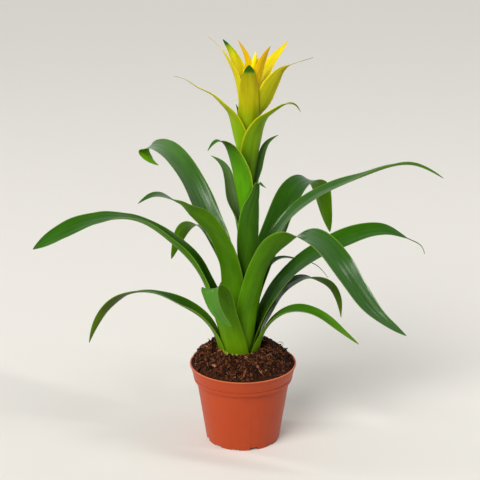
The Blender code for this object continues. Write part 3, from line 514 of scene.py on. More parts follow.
def make_blade(name, node, slot, tissues, azimuth, spine, half_width, upper, under, margin,
               foot=0.0, foot_end=0.25, taper=(4, 0.8), blade_end=1.0, sheath=0.2,
               cup=25, roll=0, flute=0.14, ripple=0.3, margin_width=0.035,
               thread=TIP_HALF_WIDTH, rows=120, columns=28, base=None):
    """One leaf or bract, a closed strip swept along its spine.

    spine has stations (distance from the plant's axis, height, extra turn about it), half_width
    narrows as (1 - (t / blade_end)^p)^q to a dried thread of half width thread, and the
    cross-section is an arc of half angle a and radius w / a. At the foot a = w / distance, which
    is the sheath, and it fades to the cup angle. roll twists the blade about its spine. flute and
    ripple are the heights of the shallow channels along the blade and of the waves in its
    margins. tissues are the materials of the upper and the under side. upper, under and margin
    are colours by share of length, and base is the colour that the foot of the plant blends to.
    """
    spine = np.array(spine, float)
    angle = np.radians(azimuth + spine[:, 2])
    stations = np.stack([spine[:, 0] * np.cos(angle), spine[:, 0] * np.sin(angle), spine[:, 1]], -1)
    s = np.linspace(0, 1, rows)
    t = 0.5 * (s + np.sin(np.pi / 2 * s))
    v = np.linspace(-1, 1, columns)
    u = 0.5 * (v + np.sin(np.pi / 2 * v))
    place, tangent = natural_spline(stations, t)
    distance = np.hypot(place[:, 0], place[:, 1])
    around = np.stack([-place[:, 1], place[:, 0], 0 * t], -1) / distance[:, None]
    across = around - tangent * (tangent * around).sum(1)[:, None]
    across /= np.linalg.norm(across, axis=1)[:, None]
    inward = np.cross(tangent, across)
    twist = np.radians(eased(roll, t))[:, None]
    side = np.cos(twist) * across + np.sin(twist) * inward
    inner = np.cos(twist) * inward - np.sin(twist) * across
    p, q = taper
    width = half_width * (1 + foot * (1 - ease(t / foot_end)))
    width = width * np.maximum(1 - (t / blade_end) ** p, 0) ** q
    width = width + TIP_HALF_WIDTH + (thread - TIP_HALF_WIDTH) * ease((t - 0.6) / 0.2)
    wrapped = np.exp(-(t / sheath) ** 3)
    opening = np.radians(eased(cup, t))
    half_angle = opening + (width / distance - opening) * wrapped
    radius = (width / half_angle)[:, None]
    theta = half_angle[:, None] * u
    sink = 0.5 * radius * (1 - np.cos(half_angle[:, None])) * (1 - wrapped[:, None])
    along = np.concatenate([[0], np.cumsum(np.linalg.norm(np.diff(place, axis=0), axis=1))])
    free = (ease(t / 0.3) * np.minimum(1, width / 6))[:, None]
    phase = azimuth * 0.7 + spine[-1, 1]
    shape = flute * np.cos(3.5 * np.pi * u + 0.3 * np.sin(along[:, None] / 40 + phase)) * free
    shape += ripple * u ** 2 * np.sin(along[:, None] / 7.5 + phase + 1.7 * np.sign(u)) * free
    thickness = HALF_THICKNESS * (1 - 0.5 * u ** 2) * (1 - 0.4 * ease((t - 0.8) / 0.2))[:, None]
    faces_of_blade = []
    for offset in (shape + thickness, shape - thickness):
        along_side = np.sin(theta) * (radius - offset)
        along_inner = radius - (radius - offset) * np.cos(theta) - sink
        face = place[:, None] + along_side[..., None] * side[:, None]
        face += along_inner[..., None] * inner[:, None]
        face[..., 0] += lean(face[..., 2])
        faces_of_blade.append(face)
    points = np.stack(faces_of_blade)
    grid = quads(rows, columns)
    count = rows * columns
    edge = np.concatenate([np.arange(columns), np.arange(1, rows) * columns + columns - 1,
                           (rows - 1) * columns + np.arange(columns - 2, -1, -1),
                           np.arange(rows - 2, 0, -1) * columns])
    after = np.roll(edge, -1)
    rim = np.stack([after, edge, edge + count, after + count], -1)
    faces = np.concatenate([grid, grid[:, ::-1] + count, rim])
    piece = make_piece(name, points, faces, tissues[0])
    piece.data.materials.append(tissues[1])
    under_side = np.arange(len(faces)) // len(grid) == 1
    piece.data.polygons.foreach_set("material_index", under_side.astype(np.int32))

    color = np.stack([stops_color(upper, t), stops_color(under, t)])[:, :, None]
    edge_share = ease((np.abs(u) - 1 + 2 * margin_width) / (2 * margin_width))[None, None, :, None]
    color = color + (stops_color(margin, t)[None, :, None] - color) * edge_share
    if base:
        low = 1 - ease((points[..., 2:] - FOOT_BLEND_HEIGHT) / FOOT_BLEND_LENGTH)
        color = color + (linear(base) - color) * 0.85 * low
    color = np.broadcast_to(color, points.shape)
    color = np.concatenate([color, np.ones((*points.shape[:3], 1))], -1)
    tint = piece.data.attributes.new("blade_color", "FLOAT_COLOR", "POINT")
    tint.data.foreach_set("color", color.ravel())
    # the tissue's pattern runs along each blade, in another part of the noise for each and for
    # each of its sides
    local = np.zeros_like(points)
    local[..., 0] = u * width[:, None]
    local[..., 1] = along[:, None] + 500 * azimuth / 360
    local[0, ..., 2] = 5.0
    spot = piece.data.attributes.new("blade_place", "FLOAT_VECTOR", "POINT")
    spot.data.foreach_set("vector", local.ravel())
    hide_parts(node)
    return piece


def blade_tissue(name, roughness, gloss, streak):
    """Living tissue under a waxy cuticle: colour from the blade times 1 + streak (vein - 0.5) in
    each channel, and soft blotches. Real veins are 0.5 mm apart; they are drawn 1.5 mm apart so
    that they show."""
    tissue = new_material(name)
    color = add_node(tissue, "Attribute", {"attribute_name": "blade_color"})
    place = add_node(tissue, "Attribute", {"attribute_name": "blade_place"})
    stretched = add_node(tissue, "Mapping", {"Scale": (0.67, 0.012, 1.0)},
                         {"Vector": (place, "Vector")})
    veins = add_node(tissue, "TexNoise", {"Scale": 1.0, "Detail": 3.0, "Roughness": 0.65},
                     {"Vector": (stretched, "Vector")})
    patches = add_node(tissue, "Mapping", {"Scale": (0.09, 0.035, 1.0)},
                       {"Vector": (place, "Vector")})
    blotch = add_node(tissue, "TexNoise", {"Scale": 1.0, "Detail": 2.0},
                      {"Vector": (patches, "Vector")})
    vein_gain = add_node(tissue, "VectorMath", {"operation": "MULTIPLY_ADD", 1: streak,
                                                2: tuple(1 - 0.5 * np.array(streak))},
                         {0: (veins, "Fac")})
    veined = add_node(tissue, "VectorMath", {"operation": "MULTIPLY"},
                      {0: (color, "Color"), 1: (vein_gain, "Vector")})
    blotch_gain = add_node(tissue, "MapRange", {"From Min": 0.3, "From Max": 0.7,
                                                "To Min": 0.86, "To Max": 1.12},
                           {"Value": (blotch, "Fac")})
    shaded = add_node(tissue, "VectorMath", {"operation": "SCALE"},
                      {"Vector": (veined, "Vector"), "Scale": (blotch_gain, "Result")})
    wax = add_node(tissue, "MapRange", {"From Min": 0.3, "From Max": 0.7,
                                        "To Min": roughness - 0.06, "To Max": roughness + 0.1},
                   {"Value": (veins, "Fac")})
    relief = add_node(tissue, "Bump", {"Strength": 0.4, "Distance": 0.00012},
                      {"Height": (veins, "Fac")})
    return finish_material(tissue, {"Specular IOR Level": gloss},
                           {"Base Color": (shaded, "Vector"), "Roughness": (wax, "Result"),
                            "Normal": (relief, "Normal")})


# The upper side of a young leaf has the shiniest wax, an old leaf's is worn, and the under side of
# all of them is dull.
GREEN_STREAK = (0.75, 0.5, 0.5)
young_wax = blade_tissue("young_leaf_glossy_wax", 0.2, 0.36, GREEN_STREAK)
old_wax = blade_tissue("old_leaf_worn_wax", 0.28, 0.15, GREEN_STREAK)
dull_side = blade_tissue("leaf_under_side_dull_cuticle", 0.42, 0.07, GREEN_STREAK)

LEAF_UPPER = [(0, "#4A8208"), (0.35, "#2A5608"), (1, "#2A5808")]
LEAF_UNDER = [(0, "#558C08"), (0.4, "#437008"), (1, "#548408")]
LEAF_MARGIN = [(0, "#769A2C"), (1, "#6A8A2C")]
PLANT_FOOT = "#608608"


def make_leaf(number, azimuth, spine, half_width, slot="leaf_green", wax=old_wax,
              upper=LEAF_UPPER, under=LEAF_UNDER, margin=LEAF_MARGIN, **shape):
    """One strap leaf of the rosette, in the leaf tissues and with the plant's light foot."""
    node = f"leaf_{number:02d}"
    return make_blade(f"strap_{node}", node, slot, (wax, dull_side), azimuth, spine, half_width,
                      upper, under, margin, base=PLANT_FOOT, **shape)


# low on the left, arching over and hanging past the pot
make_leaf(
    1, 180, [(22, 95, 8), (28, 125, 4), (45, 148, 0), (70, 162, -2.5), (103, 172, -4.5),
        (131, 167, -6), (152, 150, -7), (164, 130, -7.5), (173.5, 104, -8)],
    13.5, slot="leaf_light", wax=dull_side, foot=0.35, taper=(3, 0.9),
    cup=[(0, 50), (0.3, 45), (0.5, 20), (1, 15)], roll=[(0.35, 0), (0.62, 20), (0.8, 42)],
    under=[(0, "#4F7814"), (0.5, "#3E5A0E"), (1, "#444E0C")])
# low on the right
make_leaf(
    2, -10, [(22, 95, -8), (25, 122, -5), (38, 147, -2), (60, 159, -1), (85, 155, -0.5),
        (112, 138, -0.5), (134, 122, -0.5)],
    12, wax=dull_side, upper=[(0, "#4A8208"), (0.4, "#2F6208"), (1, "#3F7A0C")], foot=0.4, cup=30,
    roll=[(0.4, 0), (0.8, 5)])
# low at the back
make_leaf(
    3, 100, [(22, 95, 0), (25.3, 128, 0), (37.5, 150, 0), (58, 162, 0), (85, 155, 0), (110, 135, 0),
        (124, 112, 0)],
    12, cup=30)
# short front leaf, folded back over itself; its upper side is painted lighter and bluer
# towards the folded end, a painted sheen
make_leaf(
    4, -105, [(20.7, 96, 0), (25, 130, -7), (38, 163, -15), (59, 195, -17), (74, 202, -15),
        (80, 186, -8.5), (74, 162, 6)],
    14.5, slot="leaf_light", foot=0.2, taper=(4, 0.9), cup=30,
    roll=[(0.35, 0), (0.6, 20), (0.8, 12), (1, 0)],
    upper=[(0, "#3E7010"), (0.5, "#3A681C"), (1, "#4E8028")])
# small leaf on the right, its end hooked down
make_leaf(
    5, 12, [(20.7, 96, -9), (24.5, 130, -5), (33, 151, -1), (43, 170, 0), (57, 183, 0),
        (72, 187, 0), (85, 183.5, 0), (99, 175.5, 0), (107.5, 165, 0), (113, 153, 0),
        (117, 135, 0)],
    12, slot="leaf_deep", wax=young_wax, foot=0.4, taper=(4, 1.1), roll=[(0.5, 0), (0.76, -34)],
    under=[(0, "#4F7814"), (0.5, "#3A600C"), (0.9, "#36500E"), (1, "#5A4A1C")])
# back, in the second layer
make_leaf(
    6, 84, [(20.7, 96, 3), (23, 130, 2), (36, 165, 0), (62, 188, 1), (92, 184, 1), (115, 160, 1.5),
        (128, 130, 1.5)],
    13, foot=-0.15, cup=30)
# the longest on the left, a channel that opens and turns its face to the front
make_leaf(
    7, 180, [(19.4, 97, 0), (24, 135, 0), (36, 175, 3), (57, 213, 5), (85, 241, 5.5), (121, 263, 5),
        (163, 264, 5), (205, 249, 5), (234, 232, 5.5)],
    17, foot=0.1, taper=(10, 0.9), cup=[(0, 60), (0.3, 50), (0.42, 60), (0.66, 25), (1, 15)],
    roll=[(0.07, 0), (0.17, -18), (0.3, -8), (0.66, 10), (0.76, -6), (0.88, -26), (1, -36)])
# right, crossing in front of the large front leaf
make_leaf(
    8, 8, [(19.4, 97, 0), (24, 142, 0), (37, 177, 0), (60, 205, 0), (98, 228, 0), (137, 240.5, 0),
        (156.5, 240, 0), (172, 233.5, 0), (187, 226, 0), (197, 219.5, 0), (202, 210, 0)],
    18, taper=(5, 0.9), blade_end=0.89, roll=[(0, 0), (0.4, 5), (0.7, 22)], thread=0.8)
# left at the back, its end bent straight down
make_leaf(
    9, 135, [(18.1, 98, -6), (19.5, 150, -8), (22.7, 184, -3), (30, 203, -2), (43, 219, -1),
        (56, 229, -1), (72, 235, -1), (88, 234.5, 0), (101, 226, 0.5), (109, 212.5, 0.5),
        (115, 187, 2.5)],
    14, taper=(5, 0.8), roll=[(0.55, 0), (0.78, 22)])
# thin leaf at the back right
make_leaf(
    10, 38, [(18.1, 98, 2), (20.4, 150, 6), (26.5, 182, 8), (38, 198, 8), (54, 203, 4),
        (74, 198, 0), (101, 186, -3), (117, 169, -5)],
    10, slot="leaf_deep", foot=0.3, taper=(1.6, 1.6), cup=35)
# the large front leaf, up the middle and then sharply down to the right
make_leaf(
    11, -45, [(16.8, 99, -20), (18.5, 136, -25), (20.6, 170, -24), (24.4, 191, -21), (31, 215, -15),
        (48, 241, -8), (75, 260, 0), (100, 259.5, 1), (127, 247, 0.5), (154, 221, 1), (182, 193, 4),
        (211, 174, 7.5)],
    19.5, wax=young_wax, foot=-0.4, foot_end=0.6, taper=(6, 0.9),
    cup=[(0, 35), (0.1, 40), (0.33, 70), (0.47, 35), (0.7, 15)],
    roll=[(0.34, 0), (0.45, -16), (0.57, 0)])
# front left, rising and then nodding
make_leaf(
    12, -145, [(15.5, 100, 8), (16, 144, 8), (18.5, 187, 4), (29, 225, 0), (45, 255, 0),
        (62, 274.5, 1), (82, 290, 2), (104, 303, 2.5), (127, 309.5, 3.5), (144, 304, 3.5)],
    14, wax=young_wax, foot=0.3, foot_end=0.45, taper=(5, 1), sheath=0.3,
    roll=[(0, 0), (0.3, 20), (0.5, 22), (0.67, 32), (0.79, 4), (0.88, -12), (1, -16)])
# right at the back, its end folded down
make_leaf(
    13, 48, [(15.5, 100, 2), (16.3, 130, 4), (17.3, 155, 6), (23, 187, 7), (39, 214, 7),
        (64, 248, 6.5), (92, 275, 6), (117, 279, 5.5), (136, 269, 5), (147, 243, 4.5),
        (156, 206, 2.5)],
    18, slot="leaf_deep", foot=-0.2, foot_end=0.8, taper=(6, 0.8), sheath=0.28)
# the tall left leaf with the curled end; its upper side is painted paler and greyer from the
# middle on, a painted sheen
make_leaf(
    14, 135, [(14.2, 101, 0), (16, 160, 8), (22, 198, 14), (30.5, 222, 18), (48, 244, 10),
        (78, 282, 4), (116.5, 311, 1), (138, 316, -0.5), (157.5, 314, -1.5), (170.5, 308, -1.5),
        (175, 302.5, -1.5), (172, 299, -1.5), (164.5, 297, -0.5), (154, 295, 0.5), (144, 293, 0.5)],
    20.3, slot="leaf_deep", wax=young_wax, foot=-0.48, foot_end=0.55, taper=(3.8, 0.9),
    upper=[(0, "#4A8208"), (0.35, "#2C580A"), (0.6, "#36601A"), (0.8, "#42682A"), (1, "#3A5A1E")],
    roll=[(0.62, 0), (0.78, -16), (0.86, -22), (0.91, 8), (1, 15)], rows=150)
# the longest on the right, almost flat at its end
make_leaf(
    15, 10, [(14.2, 101, 0), (17, 176, -3), (24.5, 227, 0), (47, 262, 0), (81, 286, 0),
        (131, 304, 0.5), (184, 313, 0.5), (222, 294, 1)],
    15, slot="leaf_deep", wax=young_wax, taper=(5, 0.9), sheath=0.28, cup=30,
    roll=[(0.6, 0), (0.8, -18), (1, -20)])


# Torn, papery remains of the oldest sheaths stick out where the plant's foot enters the mix.
RAG_COUNT = 13
RAG_RING_RADIUS = 25.3
rng = np.random.default_rng(5)
rag_angle = np.radians(rng.uniform(212, 262, RAG_COUNT))
rag_size = rng.uniform(0.5, 1.7, (RAG_COUNT, 1)) * np.array([0.9, 0.3, 1.7])
rag_shape = ico * rng.uniform(0.4, 1.4, (RAG_COUNT, 12, 1)) * rag_size[:, None]
rag_turn = rag_angle[:, None] + np.pi / 2
rag_x = rag_shape[..., 0] * np.cos(rag_turn) - rag_shape[..., 1] * np.sin(rag_turn)
rag_y = rag_shape[..., 0] * np.sin(rag_turn) + rag_shape[..., 1] * np.cos(rag_turn)
rag_centre_x = PLANT_X + RAG_RING_RADIUS * np.cos(rag_angle)[:, None]
rag_centre_y = RAG_RING_RADIUS * np.sin(rag_angle)[:, None]
rag_x, rag_y = rag_centre_x + rag_x, rag_centre_y + rag_y
rag_z = mix_height(rag_centre_x, rag_centre_y) + 0.6 + rag_shape[..., 2]
rag_faces = (ico_faces + 12 * np.arange(RAG_COUNT)[:, None, None]).reshape(-1, 3)
papery = new_material("dry_papery_leaf_sheath")
place = add_node(papery, "TexCoord")
wither = add_node(papery, "TexNoise", {"Scale": 400.0}, {"Vector": (place, "Object")})
dry = add_node(papery, "Mix", {"data_type": "RGBA", 6: "#6C8A14", 7: "#B8B04C"},
               {0: (wither, "Fac")})
finish_material(papery, {"Roughness": 0.75}, {"Base Color": (dry, 2)})
rags = make_piece("torn_sheath_rags", np.stack([rag_x, rag_y, rag_z], -1), rag_faces, papery)
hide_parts("stem")


# Bracts clasp the flower stem below the head, like small leaves with long sheaths. The upper ones
# already turn lime, with yellow margins, and their ends curl and dry to threads.
bract_tissue = blade_tissue("living_bract_satin_cuticle", 0.4, 0.09, (1.2, 0.5, 0.5))
BRACT_GREEN = [(0, "#4E8408"), (0.5, "#508C0C"), (0.85, "#3A6E14"), (1, "#2A5414")]
BRACT_DARK = [(0, "#4A7A18"), (0.5, "#446A28"), (1, "#3C5A28")]
GREEN_MARGIN = [(0, "#7CA82C"), (1, "#6F9A3A")]
YELLOW_MARGIN = [(0, "#84A814"), (0.3, "#C0BC18"), (0.8, "#D8CC28"), (1, "#A8A848")]


def make_bract(node, slot, azimuth, spine, half_width, upper, under, margin, **shape):
    """One bract of the flower stem or the head, in the bract tissue."""
    look = dict(foot=-0.2, foot_end=0.3, taper=(3, 1.2), flute=0.1, ripple=0.15, margin_width=0.07,
                sheath=0.5, cup=35, rows=90, columns=26)
    look.update(shape)
    return make_blade(f"clasping_{node}", node, slot, (bract_tissue, bract_tissue), azimuth,
                      spine, half_width, upper, under, margin, **look)


make_bract(
    "scape_bract_01", "bract_green", -80, [(6.8, 188, -10), (9.5, 210, -14), (11.5, 232, -12),
        (13, 257, -4), (14.5, 280, 8), (17, 295, 20), (20, 305, 27), (24, 303, 30), (30, 302, 30)],
    15, [(0, "#427010"), (0.7, "#5A8820"), (1, "#34581C")],
    [(0, "#42700C"), (0.5, "#38640C"), (1, "#34581C")], GREEN_MARGIN, sheath=0.75, cup=40)
make_bract(
    "scape_bract_02", "bract_dark", 65, [(6.4, 205, 0), (9.3, 225, 0), (12.5, 250, 0), (15, 275, 0),
        (19, 298, 0), (26, 312, 0), (33, 318, 0)],
    9.5, BRACT_DARK, BRACT_DARK, GREEN_MARGIN, sheath=0.6)
# behind on the left: the grey-green middle of both its sides is a painted sheen
make_bract(
    "scape_bract_03", "bract_dark", 155, [(6.4, 218, 0), (10, 240, 0), (13, 262, 2), (16.5, 276, 3),
        (20, 291, 4), (23, 305, 3), (27, 314, 0), (35, 322, 0), (44, 326, 0)],
    12.5, [(0, "#6A9A28"), (0.5, "#6E8A50"), (1, "#4A6A34")],
    [(0, "#5A8A28"), (0.5, "#66824A"), (1, "#4A6A34")], GREEN_MARGIN,
    roll=[(0.35, 0), (0.6, -26), (1, -30)])
make_bract(
    "scape_bract_04", "bract_green", -120, [(6, 240, -8), (8, 262, -8), (10, 280, -7),
        (12, 297, -2), (15, 313, 0), (20, 329, -5), (27.5, 343, -8), (38, 353, -9), (50, 357, -10),
        (56, 355, -11), (61, 348, -13.5)],
    13, BRACT_GREEN,
    [(0, "#508E08"), (0.5, "#549408"), (0.68, "#4C8608"), (0.8, "#38600E"), (1, "#2C5418")],
    [(0, "#8CB020"), (0.3, "#B4BE28"), (0.7, "#9EB43A"), (1, "#5C8030")], taper=(4, 1.2), cup=30)
make_bract(
    "scape_bract_05", "bract_dark", 20, [(5.5, 265, 0), (7.2, 285, -5), (9.5, 298, -6),
        (11.5, 310, -5), (14, 322, -4), (17.5, 334, 0), (22, 342, 3), (28.5, 348, 0), (35, 351, 0)],
    9.5, BRACT_DARK, [(0, "#5A9220"), (0.4, "#4C8224"), (1, "#3A5C26")], GREEN_MARGIN, cup=30,
    roll=[(0.35, 0), (0.6, 18), (1, 22)])
# its under side is painted darker up to 0.45 of its length, a painted shade
make_bract(
    "scape_bract_06", "bract_green", -50, [(5.6, 292, -10), (8.3, 317, -18), (10.8, 334, -15),
        (14, 352, -12), (17.5, 365, -3), (23.5, 375, 2), (33, 384, 10), (42, 391, 14),
        (50, 395, 16), (58, 394, 18), (64, 387, 19)],
    14, BRACT_GREEN,
    [(0, "#4E7608"), (0.25, "#547C08"), (0.45, "#6E9208"), (0.7, "#84A60C"), (1, "#466A1C")],
    YELLOW_MARGIN, margin_width=0.1, taper=(3, 1.3), sheath=0.6)
make_bract(
    "scape_bract_07", "bract_lime", -145, [(5.5, 312, 0), (8.3, 330, 6), (11, 345, 7),
        (13.4, 357, 8), (16.8, 368, 7), (23, 381, 5), (33, 392, 2), (45, 404, -3), (61, 413, -5.5),
        (72, 421, -9), (84, 425, -11)],
    13, [(0, "#8CB01A"), (0.5, "#A8B424"), (1, "#5E7A30")],
    [(0, "#76A00C"), (0.35, "#84AC08"), (0.7, "#B4B410"), (1, "#6E7A30")], YELLOW_MARGIN,
    margin_width=0.11, foot=-0.05, taper=(2, 2), sheath=0.35, cup=28,
    roll=[(0, 0), (0.15, 10), (0.3, 10), (0.5, 0)])
make_bract(
    "scape_bract_08", "bract_dark", 152, [(5.2, 326, 0), (6.6, 342, 0), (8.2, 356, 0),
        (9.8, 370, 0), (12, 380, 0), (14.5, 386, 0)],
    8, BRACT_DARK, BRACT_DARK, GREEN_MARGIN, foot=-0.5, foot_end=0.6, taper=(3, 1.1), sheath=0.6)


# The head: a cup of coloured bracts, lime outside and clear yellow to orange-yellow inside, each
# clasping the next. The lowest still have green tips.
OLIVE_LIME = [(0, "#92A212"), (0.5, "#A4A412"), (0.8, "#AC9E14"), (1, "#5C8A3A")]
ORANGE_YELLOW = [(0, "#E8CC08"), (0.5, "#E4BC08"), (1, "#D8A40C")]
make_bract(
    "head_bract_01", "bract_lime", 38, [(5, 336, 0), (7.8, 352, 0), (10.8, 370, 0), (14, 383, 0),
        (19, 392, 0), (24, 397, 0)],
    7.5, [(0, "#9AB41E"), (1, "#C8BE2A")], [(0, "#8CAC1C"), (1, "#B4B224")], YELLOW_MARGIN,
    foot=-0.45, foot_end=0.5, taper=(3, 0.9))
make_bract(
    "head_bract_02", "bract_lime", -92, [(5.3, 340, 0), (9, 352, 0), (11.8, 367, 4), (13.6, 381, 5),
        (14.7, 397, 8), (14.5, 412, 8), (13.5, 423, 8), (11, 432, 8)],
    12.3, [(0, "#B4BC20"), (0.8, "#C8BE1E"), (1, "#3E6E1C")], [(0, "#6E9608"), (0.35, "#8AA408"),
        (0.6, "#B4AC0C"), (0.84, "#A0960C"), (0.9, "#8C900C"), (0.93, "#2E5C10"), (1, "#28500C")],
        [(0, "#749C08"), (0.4, "#ACB010"), (0.8, "#B09C10"), (0.9, "#9C9810"), (0.93, "#2E5C10"),
        (1, "#28500C")], foot=-0.55, foot_end=0.35, taper=(6, 0.75), sheath=0.95, cup=50)
make_bract(
    "head_bract_03", "bract_lime", -20, [(5.6, 346, -40), (7.4, 362, -34), (9.4, 374, -21),
        (12.5, 384, -11), (17.2, 392.5, -4), (23.3, 406.5, 1), (30, 418, 3.5), (36, 426, 5.5),
        (42, 430.5, 6), (52, 435, 7), (61, 438, 7), (69.5, 441, 7)],
    11.5, OLIVE_LIME, OLIVE_LIME,
    [(0, "#E8D808"), (0.6, "#F0DC10"), (0.85, "#D8C47C"), (1, "#5C8A3A")], margin_width=0.13,
    foot=-0.6, foot_end=0.6, taper=(4, 1.1), blade_end=0.8, sheath=0.35, cup=32,
    roll=[(0, 0), (0.18, -12), (0.38, -60), (0.6, -60), (1, -30)], rows=110)
make_bract(
    "head_bract_04", "bract_yellow", 190, [(4.7, 354, 22), (5.5, 364, 22), (7, 374, 22),
        (8.8, 386, 21), (10.3, 398, 20), (12.4, 412, 18), (17, 427, 14), (22, 437, 10),
        (27.5, 447, 6), (34, 454.5, 1), (42, 461, -4)],
    10.8, [(0, "#B8B80A"), (0.6, "#D4CA0C"), (0.85, "#D8C40E"), (1, "#A88C3C")],
    [(0, "#A4AC0A"), (0.5, "#CCC20A"), (0.85, "#D4BE0E"), (1, "#8C7A34")],
    [(0, "#D8CC28"), (1, "#E0C048")], foot=-0.7, foot_end=0.8, taper=(4, 1.1), blade_end=0.86)
make_bract(
    "head_bract_05", "bract_yellow", 130, [(4.6, 358, -11), (6, 380, -10), (8.2, 401, -9),
        (13, 420, -2), (20.5, 434, 3), (29, 445, 5), (37, 452.5, 6)],
    10, [(0, "#D8CC10"), (0.6, "#E4D010"), (0.8, "#CCC80C"), (0.9, "#90A80C"), (0.94, "#2E5C10"),
        (1, "#28500C")], [(0, "#C4BE10"), (0.8, "#A8B40C"), (0.94, "#3C6410"), (1, "#28500C")],
    [(0, "#E8DC10"), (0.9, "#D8D010"), (0.95, "#3E6E10"), (1, "#2E5C10")], foot=-0.77, foot_end=0.6,
    taper=(4, 0.9), cup=30)
make_bract(
    "head_bract_06", "bract_yellow", 24, [(4.4, 366, -13), (7, 382, -1), (10.3, 392, 11),
        (15.2, 404, 15), (24.2, 419, 15), (34.2, 431, 15), (45, 440.2, 15), (55, 449, 15)],
    11.6, [(0, "#BEB608"), (0.5, "#D0C20A"), (0.9, "#D8BE10"), (1, "#C0981C")],
    [(0, "#C0B80C"), (0.6, "#D8C80C"), (1, "#C0981C")], [(0, "#E8DC10"), (1, "#D8B820")], foot=-0.7,
    foot_end=0.5, taper=(3, 0.9), cup=30)
make_bract(
    "head_bract_07", "bract_orange", 120, [(3.8, 374, 0), (4.8, 388, -24), (6.4, 402, -42),
        (9.8, 420, -40), (13.5, 436, -26), (18.5, 446, -10), (22.5, 453, -2)],
    6.5, ORANGE_YELLOW, ORANGE_YELLOW, [(0, "#F0DC10"), (1, "#DCAC10")], foot=-0.5, foot_end=0.6,
    taper=(2, 1), cup=30)
make_bract(
    "head_bract_08", "bract_orange", -36, [(3.8, 374, 8), (6.3, 398, 14), (11, 419, 14),
        (17, 436, 12), (22, 446, 10), (26, 452, 10)],
    10, [(0, "#ECD008"), (0.6, "#ECC408"), (1, "#E0AE0C")],
    [(0, "#ECD008"), (0.6, "#ECC408"), (1, "#DCA80C")], [(0, "#F0D810"), (1, "#DCAC10")], foot=-0.6,
    foot_end=0.5, taper=(2.5, 0.9), cup=30, roll=[(0, 0), (0.5, -25)])


# Flower buds: soft yellow spindles that stand in the cup of the head on a short core.
BUD_AZIMUTH = np.array([-20, 12, 62, 113, 165, 216, 268])
BUD_REACH = np.array([9, 11.5, 4.6, 4.6, 4.6, 4.6, 4.6])
BUD_TIP_HEIGHT = np.array([445, 438, 420, 423, 426, 420, 423])
BUD_RADIUS = np.array([3.3, 2.3, 2.1, 2.1, 2.1, 2.1, 2.1])
BUD_HEIGHT = 391.0
CORE_FOOT = 384.3
head_x = lean(BUD_HEIGHT)
bud_share = np.linspace(0, 1, 24)
bud_swell = np.interp(bud_share, [0, 0.12, 0.3, 0.6, 0.85, 0.96, 1],
                      [0.5, 0.68, 0.87, 1, 0.72, 0.3, 0.08])
bud_angle = np.radians(BUD_AZIMUTH)
bud_foot = np.stack([head_x + np.cos(bud_angle), np.sin(bud_angle),
                     BUD_HEIGHT + 0.4 * np.arange(7)], -1)
bud_tip = np.stack([head_x + BUD_REACH * np.cos(bud_angle), BUD_REACH * np.sin(bud_angle),
                    BUD_TIP_HEIGHT], -1)
bud_paths = bud_foot[:, None] + (bud_tip - bud_foot)[:, None] * bud_share[None, :, None]
bud_points, bud_faces = tube(bud_paths, BUD_RADIUS[:, None] * bud_swell, 20)
core_profile = rounded([(0.4, CORE_FOOT), (2.4, CORE_FOOT), (3.3, CORE_FOOT + 4),
                        (3.3, CORE_FOOT + 10), (1.6, CORE_FOOT + 16), (0.4, CORE_FOOT + 16)], 0.8)
core_grid = turned(core_profile, np.linspace(0, 2 * np.pi, 24, endpoint=False), head_x)
core_faces = closed_quads(*core_grid.shape[:2], start=bud_points.size // 3)

# Petal tissue: clear yellow, slightly deeper at its tip, soft and satin.
petal = new_material("living_petal_satin")
place = add_node(petal, "TexCoord")
height = add_node(petal, "SeparateXYZ", {}, {"Vector": (place, "Object")})
grown = add_node(petal, "MapRange", {"From Min": 0.40, "From Max": 0.44}, {"Value": (height, "Z")})
streak_place = add_node(petal, "Mapping", {"Scale": (1200.0, 1200.0, 60.0)},
                        {"Vector": (place, "Object")})
streak = add_node(petal, "TexNoise", {"Scale": 1.0, "Detail": 2.0},
                  {"Vector": (streak_place, "Vector")})
yellow = add_node(petal, "Mix", {"data_type": "RGBA", 6: "#F4D806", 7: "#FFEC08"},
                  {0: (grown, "Result")})
soft = add_node(petal, "MapRange", {"From Min": 0.3, "From Max": 0.7, "To Min": 0.88,
                                    "To Max": 1.06}, {"Value": (streak, "Fac")})
streaked = add_node(petal, "VectorMath", {"operation": "SCALE"},
                    {"Vector": (yellow, 2), "Scale": (soft, "Result")})
finish_material(petal, {"Roughness": 0.45, "Specular IOR Level": 0.1},
                {"Base Color": (streaked, "Vector")})
buds = make_piece("flower_buds", np.vstack([bud_points.reshape(-1, 3), core_grid.reshape(-1, 3)]),
                  bud_faces + core_faces, petal)
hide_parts("flower_cluster")


# A plain pale floor in a studio. The light comes from a very large softbox high at the front left.
# Three small ones at the sides put the gloss on the leaves, and the white wall behind the plant
# shows in every blade that is seen at a low angle.
bpy.ops.mesh.primitive_circle_add(vertices=96, radius=6, fill_type="NGON")
floor = bpy.context.object
floor.name = "studio_floor"
paper = new_material("pale_background_paper")
finish_material(paper, {"Base Color": (*linear("#DEDAD2"), 1.0), "Roughness": 0.8}, {})
floor.data.materials.append(paper)


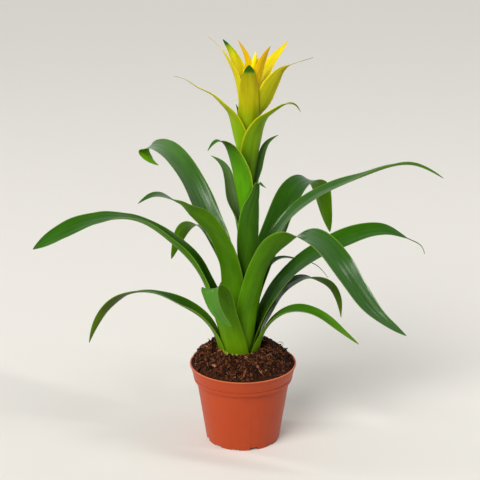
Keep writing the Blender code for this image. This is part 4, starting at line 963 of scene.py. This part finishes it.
def add_lamp(name, kind, place, strength, **settings):
    """A lamp at this place that faces the middle of the plant."""
    light = bpy.data.lights.new(name, kind)
    light.energy = strength
    for key, value in settings.items():
        setattr(light, key, value)
    lamp = bpy.data.objects.new(name, light)
    bpy.context.scene.collection.objects.link(lamp)
    lamp.location = place
    toward = np.array([0, 0, 0.2]) - np.array(place)
    lamp.rotation_euler = (np.arctan2(np.hypot(*toward[:2]), -toward[2]), 0,
                           np.arctan2(toward[1], toward[0]) - np.pi / 2)
    return lamp


key = add_lamp("key_softbox", "SUN", (-1.15, -1.7, 1.75), 3.25, angle=np.radians(42))
key.visible_glossy = False
add_lamp("left_gloss_box", "AREA", (-1.72, 0.42, 1.25), 8,
         shape="RECTANGLE", size=0.3, size_y=0.6)
add_lamp("right_strip_box", "AREA", (1.36, -0.52, 1.78), 12,
         shape="RECTANGLE", size=0.12, size_y=0.8)
add_lamp("right_gloss_box", "AREA", (1.62, 0.18, 1.68), 3.2,
         shape="RECTANGLE", size=0.5, size_y=0.35)
world = bpy.data.worlds.new("studio_walls")
bpy.context.scene.world = world
world.use_nodes = True
direction = add_node(world, "TexCoord")
toward = add_node(world, "SeparateXYZ", {}, {"Vector": (direction, "Generated")})
wall = add_node(world, "MapRange", {"From Min": 0.1, "From Max": 0.95, "To Min": 0.22,
                                    "To Max": 0.85}, {"Value": (toward, "Y")})
background = world.node_tree.nodes["Background"]
background.inputs["Color"].default_value = (*linear("#E8EAEE"), 1.0)
world.node_tree.links.new(wall.outputs["Result"], background.inputs["Strength"])
bpy.context.scene.view_settings.view_transform = "Standard"

# The camera stands 1.5 m in front of the plant, at 0.73 m, and looks down at it.
CAMERA_PITCH = 18.18
CAMERA_YAW = 0.13
camera = bpy.data.objects.new("camera", bpy.data.cameras.new("camera"))
bpy.context.scene.collection.objects.link(camera)
camera.data.sensor_width = 36.0
camera.data.lens = 107.8
camera.location = (0.0, -1.5, 0.728)
camera.rotation_euler = (np.radians(90 - CAMERA_PITCH), 0, np.radians(CAMERA_YAW))
bpy.context.scene.camera = camera
